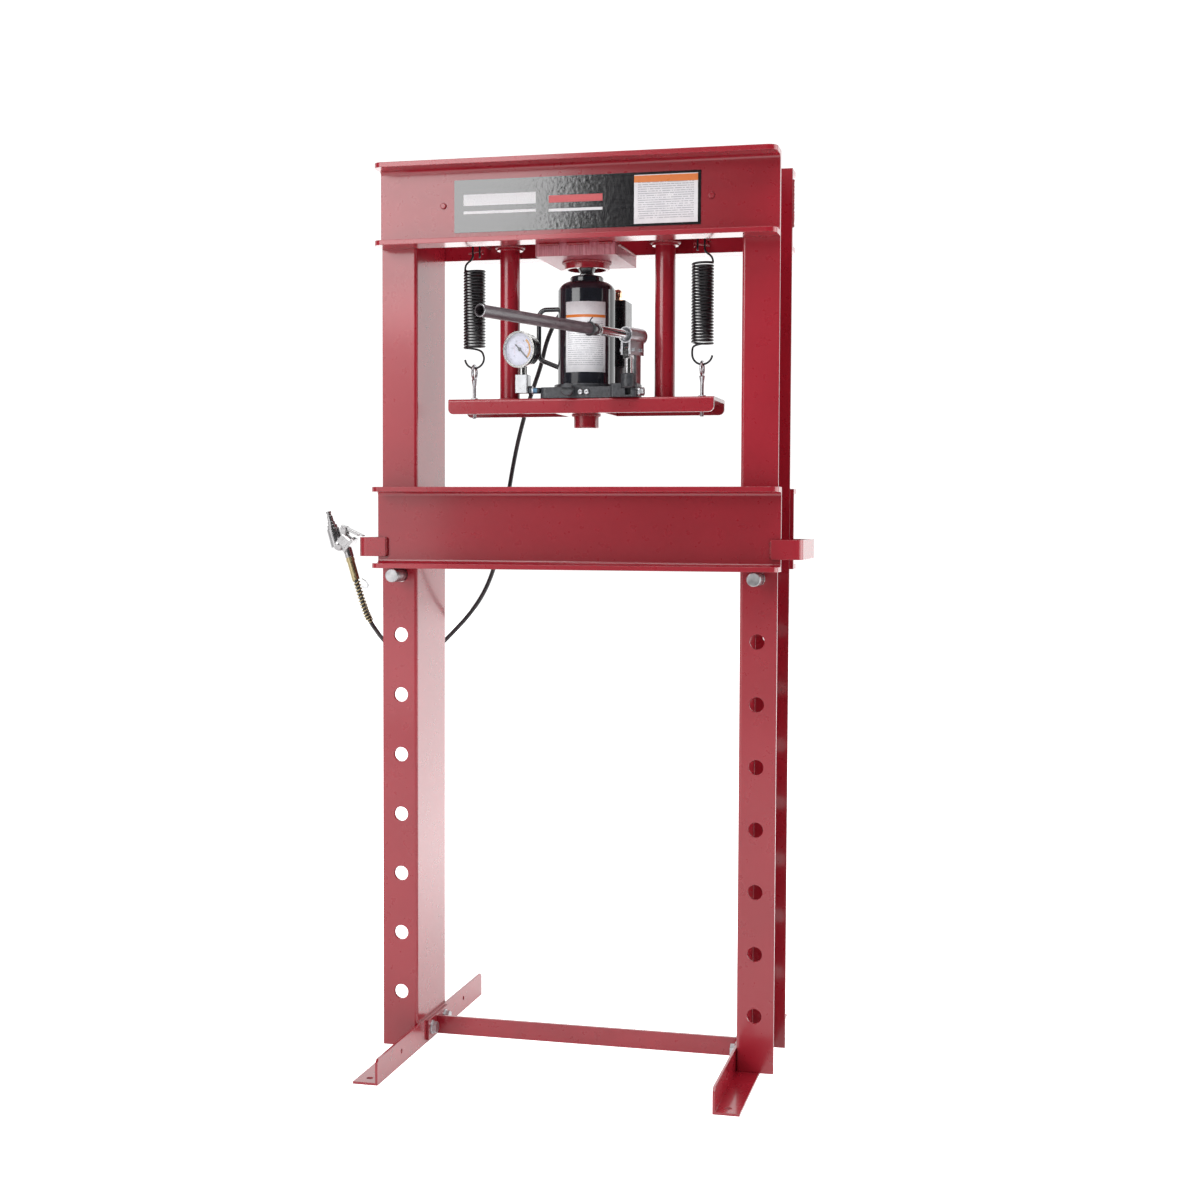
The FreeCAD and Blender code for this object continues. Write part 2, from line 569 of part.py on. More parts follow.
def pump():
    """Pump barrel, plunger, link, lever with its socket, and the two-part handle."""
    arm, gap, cheek = size("lever_arm"), size("cheek_gap") / 2, size("cheek_thick")
    boss_top = base_top + 4
    barrel = cut(rod((PUMP[0], PUMP[1], BARREL_Z), (0, 0, 1), "pump_dia", "24"),
                 [rod((PUMP[0], PUMP[1], BARREL_Z - 1), (0, 0, 1), "plunger_dia + 0.12", "26")])
    finished(bevelled(barrel, 2, lambda e: is_circle(e, size("pump_dia"))), "pump_barrel")
    # the plunger's eye is slotted along the handle, because the lever swings on an arc
    eye_low, stem_z = -14, size("plate_top") + 16
    stem = rod((PUMP[0], PUMP[1], stem_z), (0, 0, 1), "plunger_dia", f"{PIN_Z + eye_low + 2 - stem_z}")
    block = box((arm - 8, -5, eye_low), ("16", "10", f"{-eye_low}"), LEVER)
    crown = [rod((arm + x, -5, 0), (0, 1, 0), "15.6", "10", LEVER) for x in (-0.2, 0.2)]
    eye = fused([block] + crown)
    slot = [rod((arm + x, -10, 0), (0, 1, 0), "lever_pin + 1.6", "20", LEVER) for x in (-2.6, 2.6)]
    slot.append(box((arm - 2.6, -10, -4.3), ("5.2", "20", "lever_pin + 1.6"), LEVER))
    finished(cut(fused([stem, eye]), slot), "pump_plunger")
    drop = PIN_Z - boss_top
    link = box((-7, -5, -drop), ("14", "10", f"{drop}"), LEVER)
    round_end = rod((0, -5, 0), (0, 1, 0), "14", "10", LEVER)
    hole = rod((0, -8, 0), (0, 1, 0), "lever_pin + 0.12", "16", LEVER)
    finished(cut(fused([link, round_end]), [hole]), "pump_link")
    rise = size("socket_rise")
    socket = rod((-14, 0, rise), (1, 0, 0), "socket_dia", "46", LEVER)
    cheeks = [box((-9, y, -8), ("40", "cheek_thick", "socket_rise - 2"), LEVER) for y in (-gap - cheek, gap)]
    bore = rod((-8, 0, rise), (1, 0, 0), "rod_dia + 0.12", "60", LEVER)
    flare = doc.addObject("Part::Cone", "Flare")
    bind(flare, "Radius1", "rod_dia / 2")
    bind(flare, "Radius2", "socket_dia / 2 - 1.5")
    bind(flare, "Height", "6")
    flare.Placement = LEVER.multiply(Placement(Vector(26.5, 0, rise), Rotation(Vector(0, 0, 1), Vector(1, 0, 0))))
    pins = [rod((x, -gap - 2 * cheek, 0), (0, 1, 0), "lever_pin", f"{2 * gap + 4 * cheek}", LEVER)
            for x in (0, arm)]
    heads = [rod((x, -gap - 2 * cheek, 0), (0, 1, 0), "lever_pin + 4", f"{cheek - 1.2}", LEVER)
             for x in (0, arm)]
    lever = cut(fused([socket] + cheeks), [bore, flare])
    finished(fused([lever] + pins + heads), "pump_lever")
    finished(rod((-7, 0, rise), (1, 0, 0), "rod_dia", "180", LEVER), "handle_rod")
    grip = cut(rod((132, 0, rise), (1, 0, 0), "grip_dia", "284", LEVER),
               [rod((131, 0, rise), (1, 0, 0), "rod_dia + 0.12", "290", LEVER)])
    finished(grip, "handle_grip")


def release_valve():
    """The screw that lets the oil back, with a notched head turned by the handle's end."""
    shank = rod((RELEASE_X, -54, RELEASE_Z), (0, 1, 0), "8", "14")
    neck = rod((RELEASE_X, -60, RELEASE_Z), (0, 1, 0), "12", "6")
    head = rod((RELEASE_X, -72, RELEASE_Z), (0, 1, 0), "21", "12")
    head = bevelled(head, 1.5, lambda e: is_circle(e, 21))
    notch = box((RELEASE_X - 12, -73, RELEASE_Z - 2.5), ("24", "6", "5"))
    finished(cut(fused([shank, neck, head]), [notch]), "release_valve")


def filler_plug():
    """The bright plug on the right of the pump's boss."""
    x = 100
    flange = Part.makeCylinder(8, 4, Vector(x, -50, RELEASE_Z - 4), Vector(1, 0, 0))
    head = hexagon((x + 4, -50, RELEASE_Z - 4), (1, 0, 0), 12, 6)
    shaped(flange.fuse(head).removeSplitter(), "pump_plug")


def bent_rod(points, bend, diameter):
    """A round bar along straight runs joined by arcs of one radius."""
    path = rounded_path(points, lambda i, before, after, half: bend)
    return sweep(path, diameter)


def rounded_path(points, radius_of):
    """Straight runs with a tangent arc at each inner point."""
    edges, here = [], Vector(*points[0])
    for i in range(1, len(points) - 1):
        a, b, c = (Vector(*p) for p in points[i - 1:i + 2])
        back, ahead = (a - b).normalize(), (c - b).normalize()
        half = math.pi / 2 - back.getAngle(ahead) / 2
        radius = radius_of(i, (a - b).Length, (c - b).Length, half)
        step = radius * math.tan(half)
        start, stop = b + back * step, b + ahead * step
        centre = b + (back + ahead).normalize() * (radius / math.cos(half))
        middle = centre + (b - centre).normalize() * radius
        if (start - here).Length > 1e-6:
            edges.append(Part.LineSegment(here, start).toShape())
        edges.append(Part.Arc(start, middle, stop).toShape())
        here = stop
    edges.append(Part.LineSegment(here, Vector(*points[-1])).toShape())
    return Part.Wire(edges)


def sweep(path, diameter):
    """A round solid along a path."""
    start, way = path.Edges[0].valueAt(path.Edges[0].FirstParameter), None
    way = path.Edges[0].tangentAt(path.Edges[0].FirstParameter)
    ring = Part.Wire([Part.makeCircle(diameter / 2, start, way)])
    return path.makePipeShell([ring], True, True)


def carry_handle():
    """The bent rod on the jack's left side."""
    reach = JACK_RADIUS - 2
    points = [(-reach, 0, 1255), (-83, 0, 1255), (-83, 0, 1172), (-reach, 0, 1157)]
    solid = bent_rod(points, 13, 8)
    round_hole = Part.makeCylinder(JACK_RADIUS, 200, Vector(0, 0, 1120))
    shaped(solid.cut(round_hole), "carry_handle")


MOTOR = dict(low_x=11, wide=44, low_y=51, deep=54, low_z=1163, tall=112)


def air_motor():
    """The air motor standing behind the jack, and the brass elbow on its top."""
    m = MOTOR
    case = box((m["low_x"], m["low_y"], m["low_z"]), (f"{m['wide']}", f"{m['deep']}", f"{m['tall']}"))
    case = rounded(case, 5, lambda e: runs_along(e, (0, 0, 1)))
    top = m["low_z"] + m["tall"]
    case = bevelled(case, 1.5, lambda e: e.CenterOfMass.z > top - 0.1)
    finished(case, "air_motor")
    nut = hexagon((36, 78, top), (0, 0, 1), 15, 7)
    riser = Part.makeCylinder(6, 15, Vector(36, 78, top))
    ball = Part.makeSphere(6.5, Vector(36, 78, top + 15))
    arm = Part.makeCylinder(6, 18, Vector(36, 78, top + 15), Vector(-1, 0, 0))
    shaped(nut.fuse([riser, ball, arm]).removeSplitter(), "air_elbow")


# --- the gauge ----------------------------------------------------------------------------

GAUGE_FACE = Vector(-0.276, -0.961, 0).normalize()
gauge_front = Vector(-101.7, -60, 1184)
# in this frame the dial looks along +X
GAUGE = Placement(gauge_front, Rotation(Vector(1, 0, 0), GAUGE_FACE))


def gauge():
    """Case with its bezel, dial, window and needle, the block under it and the pipe."""
    thick = size("gauge_thick")
    case = rod((-thick, 0, 0), (1, 0, 0), "gauge_dia - 5", "gauge_thick - 4", GAUGE)
    bezel = rod((-7, 0, 0), (1, 0, 0), "gauge_dia", "7", GAUGE)
    stem = rod((-thick / 2 - 2, 0, -42), (0, 0, 1), "14", "18", GAUGE)
    hollow = rod((-6, 0, 0), (1, 0, 0), "gauge_dia - 7", "10", GAUGE)
    finished(cut(fused([case, bezel, stem]), [hollow]), "gauge_case")
    finished(rod((-6, 0, 0), (1, 0, 0), "gauge_dia - 7.2", "1", GAUGE), "gauge_dial")
    finished(rod((-2.2, 0, 0), (1, 0, 0), "gauge_dia - 7.2", "1.6", GAUGE), "gauge_window")
    hub = rod((-4.7, 0, 0), (1, 0, 0), "6", "1.6", GAUGE)
    # the needle rests at zero, low on the dial's left, seen from the front
    turned = GAUGE.multiply(Placement(Vector(-4.4, 0, 0), Rotation(Vector(1, 0, 0), 45)))
    blade = box((0, -1, -21), ("0.8", "2", "33"), turned)
    finished(fused([hub, blade]), "gauge_needle")
    block_x, block_y = gauge_block_centre()
    block = box((block_x - 11, block_y - 11, 1112), ("22", "22", "30"))
    finished(rounded(block, 2, lambda e: runs_along(e, (0, 0, 1))), "gauge_block")
    pipe = Part.makeCylinder(5, -68 - (block_x + 11), Vector(block_x + 11, block_y, 1116), Vector(1, 0, 0))
    nut = hexagon((block_x + 11, block_y, 1116), (1, 0, 0), 14, 6)
    shaped(pipe.fuse(nut).removeSplitter(), "gauge_pipe")


def gauge_block_centre():
    """The block stands under the gauge's stem."""
    stem = GAUGE.multVec(Vector(-size("gauge_thick") / 2 - 2, 0, 0))
    return stem.x, stem.y


# --- the bed ------------------------------------------------------------------------------

bed_z = top_hole + size("pin_dia") / 2 + size("pin_lift")


def bed():
    """Two channels astride the uprights, a strap round each end, and the two pins."""
    web = size("upright_depth") / 2 + size("bed_gap")
    channel("bed_channel_front", "bed_length", -web, -1, bed_z)
    channel("bed_channel_rear", "bed_length", web, 1, bed_z)
    for side, label in ((-1, "bed_strap_left"), (1, "bed_strap_right")):
        strap(label, side)
    half = size("pin_length") / 2
    for side, label in ((-1, "bed_pin_left"), (1, "bed_pin_right")):
        pin = rod((side * hole_x, -half, top_hole), (0, 1, 0), "pin_dia", "pin_length")
        finished(bevelled(pin, 1.5, lambda e: is_circle(e, size("pin_dia"))), label)


def strap(label, side):
    """A flat bar bent round the bed's end, its legs on the webs' outer faces."""
    thick, tall, reach = size("strap_thick"), size("strap_height"), size("strap_reach")
    face = size("upright_depth") / 2 + size("bed_gap") + size("channel_web")
    start, low = 326, bed_z + 19
    outer = box((min(side * start, side * reach), -face - thick, low),
                (f"{reach - start}", f"{2 * (face + thick)}", "strap_height"))
    outer = rounded(outer, size("strap_bend"), lambda e: runs_along(e, (0, 0, 1))
                    and abs(abs(e.CenterOfMass.x) - reach) < 0.1)
    inner_end = reach - thick
    inner = box((min(side * (start - 1), side * inner_end), -face, low - 1),
                (f"{inner_end - start + 1}", f"{2 * face}", "strap_height + 2"))
    inner = rounded(inner, size("strap_bend") - thick, lambda e: runs_along(e, (0, 0, 1))
                    and abs(abs(e.CenterOfMass.x) - inner_end) < 0.1)
    finished(cut(outer, [inner]), label)


# --- the air hose and its valve -----------------------------------------------------------

HOSE_UPPER = [
    (18, 78, 1290), (-14, 78, 1290), (-48, 79, 1280), (-74, 81, 1250), (-93, 84, 1212),
    (-103, 88, 1172), (-120, 94, 1130), (-141, 106, 1078), (-160, 120, 1018), (-176, 133, 950),
    (-188, 139, 885), (-201, 140, 825), (-221, 139, 773), (-250, 139, 731), (-285, 140, 695),
    (-311, 137, 669), (-332, 127, 655),
]
HOSE_LOWER = [
    (-333.6, 125.1, 654.5), (-349, 107, 650), (-361, 77, 660), (-368, 45, 677), (-371.5, 14, 694),
    (-370, -16, 709), (-371, -44, 727), (-374.5, -61, 751), (-380.2, -66, 775), (-387, -66, 798),
]


def hose(points, label):
    """A plain tube along a stretch of the hose. Each arc is as large as its runs allow."""
    radii = []

    def radius_of(i, before, after, half):
        radii.append(0.45 * min(before, after) / math.tan(half))
        return radii[-1]

    path = rounded_path(points, radius_of)
    solid = sweep(path, size("hose_dia"))
    expected = math.pi * size("hose_dia") ** 2 / 4 * path.Length
    print(f"{label}: length {path.Length:.0f}, tightest arc {min(radii):.0f}, "
          f"volume ratio {solid.Volume / expected:.4f}")
    return shaped(solid, label)


VALVE_Y = -66
OUTLET_WAY = Vector(-0.284, 0, 0.959).normalize()
CAP_WAY = Vector(0.78, 0, -0.62).normalize()
LEVER_SLOPE = 24.8


def air_valve():
    """The ferrule at the hose's end, and the lever valve that it screws into."""
    y = VALVE_Y
    start = Vector(*HOSE_LOWER[-1])
    ferrule = Part.makeCylinder(size("ferrule_dia") / 2, 40, start, OUTLET_WAY)
    ridge = Part.makeCylinder(size("ferrule_dia") / 2 + 0.8, 5, start + OUTLET_WAY * 33, OUTLET_WAY)
    shaped(ferrule.fuse(ridge).removeSplitter(), "hose_ferrule")
    outlet = Part.makeCylinder(7.5, 15, start + OUTLET_WAY * 40, OUTLET_WAY)
    # an end cap of two plates closes the short fat bore that points down to the right
    cap_at = Vector(-399.5, y, 858)
    cap = Part.makeCylinder(17, 5, cap_at, CAP_WAY)
    cap = cap.common(Part.makeBox(80, 24, 80, Vector(-440, y - 12, 820)))
    bore = Part.makeCylinder(13, 20, cap_at - CAP_WAY * 18, CAP_WAY)
    bore = bore.common(Part.makeBox(80, 22, 80, Vector(-440, y - 11, 820)))
    rounded_end = Part.makeSphere(11.5, Vector(-417, y, 858))
    # the upright part carries a shoulder, a collar and the nipple
    way, foot_at = Vector(-0.27, 0, 0.963).normalize(), Vector(-420.5, y, 854)
    stack = [(11, 0, 32), (9, 30, 8), (6.5, 37, 7), (5.2, 42, 12), (3.8, 52, 9), (4.6, 59, 3)]
    upright_part = [Part.makeCylinder(r, tall, foot_at + way * at, way) for r, at, tall in stack]
    ears = []
    for side_y in (y - 9, y + 5.6):
        ears.append(Part.makeCylinder(5, 3.4, Vector(-407, side_y, 885), Vector(0, 1, 0)))
        ears.append(Part.makeBox(9, 3.4, 14, Vector(-411.5, side_y, 870)))
    pivot = Part.makeCylinder(2, 19, Vector(-407, y - 9.5, 885), Vector(0, 1, 0))
    solids = [outlet, cap, rounded_end] + upright_part + ears + [pivot]
    shaped(bore.fuse(solids).removeSplitter(), "air_valve")
    thick = Part.makeBox(34, 10.4, 5, Vector(-6.4, -5.2, -0.6))
    tip = Part.makeBox(9, 10.4, 2, Vector(26.6, -5.2, 2.4))
    boss = Part.makeCylinder(4, 10.4, Vector(0, -5.2, 0), Vector(0, 1, 0))
    hole = Part.makeCylinder(2.05, 12, Vector(0, -6, 0), Vector(0, 1, 0))
    lever = thick.fuse([tip, boss]).cut(hole).removeSplitter()
    turn = Rotation(Vector(0, 1, 0), LEVER_SLOPE)
    lever.Placement = Placement(Vector(-407, y, 885), turn)
    shaped(lever, "valve_lever")


def build():
    """Make every sub-part."""
    head_frame()
    foot("foot_left", -1)
    foot("foot_right", 1)
    tie_bar()
    foot_fasteners()
    front_trim()
    press_plate()
    eye_bolts()
    spring("return_spring_left", -1)
    spring("return_spring_right", 1)
    jack_casting()
    jack_shell()
    ram()
    pump()
    release_valve()
    filler_plug()
    carry_handle()
    air_motor()
    gauge()
    bed()
    hose(HOSE_UPPER, "hose_upper")
    hose(HOSE_LOWER, "hose_lower")
    air_valve()
    doc.recompute()


def write():
    """Check every object and every sub-part, then write one file for each sub-part."""
    failed = [obj.Label for obj in doc.Objects if {"Invalid", "Error"} & set(obj.State)]
    assert not failed, f"objects failed: {failed}"
    os.makedirs("parts", exist_ok=True)
    for obj in sub_parts:
        assert not obj.Shape.isNull() and obj.Shape.isValid(), f"{obj.Label} has no valid shape"
        assert obj.Shape.Solids, f"{obj.Label} has no solid"
        obj.Shape.exportStep(f"parts/{obj.Label}.step")
    print(len(sub_parts), "sub-parts written")


build()
write()
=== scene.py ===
"""Looks for a free-standing hydraulic shop press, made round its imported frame."""

import math

import bpy
import numpy as np
from mathutils import Matrix, Vector


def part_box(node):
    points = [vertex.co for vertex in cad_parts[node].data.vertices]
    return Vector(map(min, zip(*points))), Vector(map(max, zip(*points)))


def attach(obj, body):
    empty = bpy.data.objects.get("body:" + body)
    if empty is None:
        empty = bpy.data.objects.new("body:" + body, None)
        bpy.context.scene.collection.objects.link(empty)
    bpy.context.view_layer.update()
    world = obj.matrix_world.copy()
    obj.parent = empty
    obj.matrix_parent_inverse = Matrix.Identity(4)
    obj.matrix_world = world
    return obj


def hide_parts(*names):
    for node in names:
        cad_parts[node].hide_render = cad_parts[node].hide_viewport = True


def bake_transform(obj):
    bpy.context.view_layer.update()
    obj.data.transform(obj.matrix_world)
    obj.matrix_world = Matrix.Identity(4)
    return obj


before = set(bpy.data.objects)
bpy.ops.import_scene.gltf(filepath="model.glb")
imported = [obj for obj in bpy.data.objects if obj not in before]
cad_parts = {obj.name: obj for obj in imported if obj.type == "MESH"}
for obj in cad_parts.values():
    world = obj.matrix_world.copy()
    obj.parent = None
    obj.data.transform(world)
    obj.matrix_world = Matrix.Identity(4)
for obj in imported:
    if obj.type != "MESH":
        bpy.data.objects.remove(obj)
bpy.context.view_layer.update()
scene = bpy.context.scene
MM = 0.001


# --- camera ---------------------------------------------------------------------------


def link(obj):
    """Put an object in the scene."""
    scene.collection.objects.link(obj)
    return obj


def aim_camera():
    """A viewpoint a little right of the press, level with its middle."""
    eye = Vector((0.71, -2.83, 0.90))
    yaw, pitch, roll = (math.radians(angle) for angle in (13.61, 2.62, 0.23))
    forward = Vector((-math.sin(yaw) * math.cos(pitch), math.cos(yaw) * math.cos(pitch),
                      -math.sin(pitch)))
    level = Vector((math.cos(yaw), math.sin(yaw), 0))
    above = level.cross(forward)
    right = level * math.cos(roll) + above * math.sin(roll)
    up = above * math.cos(roll) - level * math.sin(roll)
    camera = link(bpy.data.objects.new("camera", bpy.data.cameras.new("camera")))
    camera.data.lens, camera.data.sensor_width = 51.86, 36
    turn = Matrix((right, up, -forward)).transposed().to_4x4()
    camera.matrix_world = Matrix.Translation(eye) @ turn
    scene.camera = camera


aim_camera()


# --- finishes -------------------------------------------------------------------------


class Finish:
    """One finish: a principled shader and the nodes that feed it."""

    def __init__(self, name, **sockets):
        self.material = bpy.data.materials.new(name)
        self.material.use_nodes = True
        self.tree = self.material.node_tree
        self.tree.nodes.clear()
        self.shader = self.add("ShaderNodeBsdfPrincipled")
        output = self.add("ShaderNodeOutputMaterial")
        self.join(self.shader.outputs["BSDF"], output.inputs["Surface"])
        self.coords = self.add("ShaderNodeTexCoord")
        self.place = self.coords.outputs["Object"]
        for label, value in sockets.items():
            socket = label.replace("_", " ").title().replace("Ior", "IOR")
            self.shader.inputs[socket].default_value = value

    def add(self, kind):
        return self.tree.nodes.new(kind)

    def join(self, source, target):
        self.tree.links.new(source, target)

    def stretched(self, scale):
        """The piece's own coordinates, stretched along each axis."""
        node = self.add("ShaderNodeMapping")
        node.inputs["Scale"].default_value = scale
        self.join(self.place, node.inputs["Vector"])
        return node.outputs["Vector"]

    def noise(self, scale, detail=3.0, where=None, rough=0.55):
        node = self.add("ShaderNodeTexNoise")
        node.inputs["Scale"].default_value = scale
        node.inputs["Detail"].default_value = detail
        node.inputs["Roughness"].default_value = rough
        self.join(where or self.place, node.inputs["Vector"])
        return node.outputs["Fac"]

    def cells(self, scale):
        node = self.add("ShaderNodeTexVoronoi")
        node.inputs["Scale"].default_value = scale
        self.join(self.place, node.inputs["Vector"])
        return node.outputs["Distance"]

    def ramp(self, value, stops, smooth=True):
        """A colour for each stretch of a value."""
        node = self.add("ShaderNodeValToRGB")
        node.color_ramp.interpolation = "LINEAR" if smooth else "CONSTANT"
        bands = node.color_ramp.elements
        while len(bands) < len(stops):
            bands.new(0.5)
        for band, (at, colour) in zip(bands, stops):
            band.position, band.color = at, (*colour, 1)
        self.join(value, node.inputs["Fac"])
        return node.outputs["Color"]

    def spread(self, value, low, high, from_low=0.3, from_high=0.7):
        """A value carried over to another range."""
        node = self.add("ShaderNodeMapRange")
        self.join(value, node.inputs["Value"])
        for label, number in (("From Min", from_low), ("From Max", from_high),
                              ("To Min", low), ("To Max", high)):
            node.inputs[label].default_value = number
        return node.outputs["Result"]

    def math(self, what, first, second=None):
        node = self.add("ShaderNodeMath")
        node.operation = what
        for i, value in enumerate((first, second)):
            if value is None:
                continue
            if isinstance(value, (int, float)):
                node.inputs[i].default_value = value
            else:
                self.join(value, node.inputs[i])
        return node.outputs["Value"]

    def mixed(self, share, first, second):
        """Two colours mixed by a share."""
        node = self.add("ShaderNodeMix")
        node.data_type = "RGBA"
        self.join(share, node.inputs[0])
        for socket, value in ((node.inputs[6], first), (node.inputs[7], second)):
            if isinstance(value, tuple):
                socket.default_value = (*value, 1)
            else:
                self.join(value, socket)
        return node.outputs[2]

    def soft_edge(self, radius):
        """The normal of the surface with its edges eased by a radius."""
        node = self.add("ShaderNodeBevel")
        node.samples = 4
        node.inputs["Radius"].default_value = radius
        return node.outputs["Normal"]

    def edge_share(self, eased):
        """How near a point is to an edge, from the turn of the eased normal."""
        true = self.add("ShaderNodeNewGeometry").outputs["True Normal"]
        node = self.add("ShaderNodeVectorMath")
        node.operation = "DOT_PRODUCT"
        self.join(eased, node.inputs[0])
        self.join(true, node.inputs[1])
        return self.spread(node.outputs["Value"], 1.0, 0.0, 0.72, 0.99)

    def bump(self, height, strength, distance, normal=None):
        node = self.add("ShaderNodeBump")
        node.inputs["Strength"].default_value = strength
        node.inputs["Distance"].default_value = distance
        self.join(height, node.inputs["Height"])
        if normal is not None:
            self.join(normal, node.inputs["Normal"])
        return node.outputs["Normal"]

    def colour(self, source):
        self.join(source, self.shader.inputs["Base Color"])

    def roughness(self, source):
        self.join(source, self.shader.inputs["Roughness"])

    def normal(self, source):
        self.join(source, self.shader.inputs["Normal"])
        self.join(source, self.shader.inputs["Coat Normal"])


RED_DEEP, RED_MAIN = (0.270, 0.0070, 0.0170), (0.300, 0.0085, 0.0200)
RED_LIT = (0.330, 0.0110, 0.0240)


def red_enamel(name="red_enamel", eased=1.6 * MM, blotch=5.0):
    """Gloss enamel over rolled steel, a little orange-peeled, lighter along the edges: partly wear,
    partly painted highlight.
    """
    f = Finish(name, coat_weight=0.7, coat_roughness=0.11, ior=1.45)
    edge = f.soft_edge(eased)
    # a lighter red in patches along the edges: partly paint wear, partly a painted highlight
    wear_and_edge_highlight = f.math("MULTIPLY", f.edge_share(edge), f.spread(f.noise(160, 4), 0.1, 0.9, 0.42, 0.6))
    base = f.ramp(f.noise(blotch, 2), [(0.30, RED_DEEP), (0.52, RED_MAIN), (0.75, RED_LIT)])
    fleck = f.spread(f.noise(900, 2), 0.0, 0.08, 0.62, 0.75)
    base = f.mixed(fleck, base, (0.14, 0.002, 0.006))
    f.colour(f.mixed(f.math("MULTIPLY", wear_and_edge_highlight, 0.55), base, (0.50, 0.035, 0.045)))
    f.roughness(f.spread(f.noise(60, 3), 0.27, 0.29))
    f.normal(f.bump(f.noise(330, 2), 0.05, 0.25 * MM, edge))
    return f.material


def red_saw_cut():
    """Enamel over a flame-cut face: fine upright ridges, and slag under the paint."""
    f = Finish("red_over_cut_face", coat_weight=0.35, coat_roughness=0.2)
    edge = f.soft_edge(1.5 * MM)
    ridges = f.noise(1.0, 5, f.stretched((620, 620, 26)))
    slag = f.noise(120, 4)
    f.colour(f.ramp(ridges, [(0.3, (0.22, 0.02, 0.035)), (0.5, (0.34, 0.065, 0.09)),
                             (0.72, (0.46, 0.15, 0.19))]))
    f.roughness(f.spread(ridges, 0.28, 0.5))
    f.normal(f.bump(slag, 0.4, 1.2 * MM, f.bump(ridges, 0.8, 0.8 * MM, edge)))
    return f.material


def weld_red():
    """Enamel run thin over weld metal: ripples, and darker and lighter patches at random."""
    f = Finish("red_over_weld", coat_weight=0.2, coat_roughness=0.25)
    f.colour(f.ramp(f.noise(260, 4), [(0.3, (0.15, 0.003, 0.008)), (0.7, (0.30, 0.010, 0.018))]))
    f.roughness(f.spread(f.noise(300, 3), 0.2, 0.42))
    f.normal(f.bump(f.noise(700, 3), 0.5, 0.5 * MM))
    return f.material


def board_gloss():
    """Gloss black sheet, its film a little puckered, with a faint brushed grey in it."""
    f = Finish("gloss_black_board", coat_weight=1.0, coat_roughness=0.04, ior=1.52)
    brushed = f.noise(1.0, 4, f.stretched((14, 14, 700)))
    f.colour(f.ramp(brushed, [(0.3, (0.006, 0.006, 0.0075)), (0.7, (0.011, 0.011, 0.013))]))
    f.roughness(f.spread(brushed, 0.10, 0.18))
    f.normal(f.bump(f.noise(150, 3), 0.30, 0.45 * MM))
    return f.material


def printed_sheet(name, header, rows, left=0.06, right=0.94, top=0.86, bottom=0.10):
    """A pale label with a coloured header strip and plain grey rules in rows, and no lettering."""
    f = Finish(name, coat_weight=0.4, coat_roughness=0.12)
    split = f.add("ShaderNodeSeparateXYZ")
    f.join(f.coords.outputs["UV"], split.inputs[0])
    across, up = split.outputs["X"], split.outputs["Y"]
    row = f.math("MULTIPLY", up, float(rows))
    within = f.math("FRACT", row)
    ink = f.math("LESS_THAN", f.math("ABSOLUTE", f.math("SUBTRACT", within, 0.5)), 0.2)
    # each rule breaks up into short dashes of uneven length
    dash = f.add("ShaderNodeTexNoise")
    dash.inputs["Scale"].default_value = 1.0
    dash.inputs["Detail"].default_value = 3.0
    spot = f.add("ShaderNodeCombineXYZ")
    f.join(f.math("MULTIPLY", across, 46.0), spot.inputs[0])
    f.join(f.math("MULTIPLY", f.math("FLOOR", row), 7.3), spot.inputs[1])
    f.join(spot.outputs[0], dash.inputs["Vector"])
    ink = f.math("MULTIPLY", ink, f.math("GREATER_THAN", dash.outputs["Fac"], 0.43))
    for value, low, high in ((across, left, right), (up, bottom, top)):
        inside = f.math("MULTIPLY", f.math("GREATER_THAN", value, low),
                        f.math("LESS_THAN", value, high))
        ink = f.math("MULTIPLY", ink, inside)
    paper = f.ramp(f.noise(60, 3), [(0.3, (0.72, 0.72, 0.75)), (0.7, (0.82, 0.82, 0.84))])
    sheet = f.mixed(f.math("MULTIPLY", ink, 0.62), paper, (0.20, 0.20, 0.24))
    low, high = header
    strip = f.math("MULTIPLY", f.math("GREATER_THAN", up, low), f.math("LESS_THAN", up, high))
    f.colour(f.mixed(strip, sheet, (0.72, 0.20, 0.035)))
    f.roughness(f.spread(f.noise(200, 2), 0.25, 0.4))
    f.normal(f.bump(f.noise(300, 2), 0.1, 0.1 * MM))
    return f.material


def plated(name, tone, low, high, grain=420.0, strength=0.12, eased=0.6 * MM):
    """Plated or polished metal with a faint grain and uneven brightness."""
    f = Finish(name, metallic=1.0)
    f.colour(f.ramp(f.noise(110, 4), [(0.3, tuple(0.8 * t for t in tone)), (0.7, tone)]))
    f.roughness(f.spread(f.noise(260, 4), low, high))
    f.normal(f.bump(f.noise(grain, 3), strength, 0.15 * MM, f.soft_edge(eased)))
    return f.material


def turned_steel():
    """Bar steel with the fine rings that a lathe leaves round it."""
    f = Finish("turned_steel", metallic=1.0)
    rings = f.noise(1.0, 3, f.stretched((6, 1900, 6)))
    f.colour(f.ramp(f.noise(60, 5), [(0.3, (0.24, 0.235, 0.24)), (0.55, (0.42, 0.41, 0.42)),
                                     (0.75, (0.56, 0.55, 0.56))]))
    f.roughness(f.spread(rings, 0.24, 0.46))
    f.normal(f.bump(rings, 0.3, 0.15 * MM, f.soft_edge(0.8 * MM)))
    return f.material


def dark_gloss(name, tone, wave=0.25, low=0.10, high=0.2):
    """Blue-black enamel poured over a steel shell, with soft unevenness in its gloss."""
    f = Finish(name, coat_weight=0.55, coat_roughness=0.06, specular_ior_level=0.4)
    f.colour(f.ramp(f.noise(40, 4), [(0.3, tone), (0.75, tuple(2.1 * t for t in tone))]))
    f.roughness(f.spread(f.noise(90, 4), low, high))
    fine = f.bump(f.noise(420, 2), 0.08, 0.2 * MM, f.soft_edge(1.2 * MM))
    f.normal(f.bump(f.noise(22, 2), wave, 1.5 * MM, fine))
    return f.material


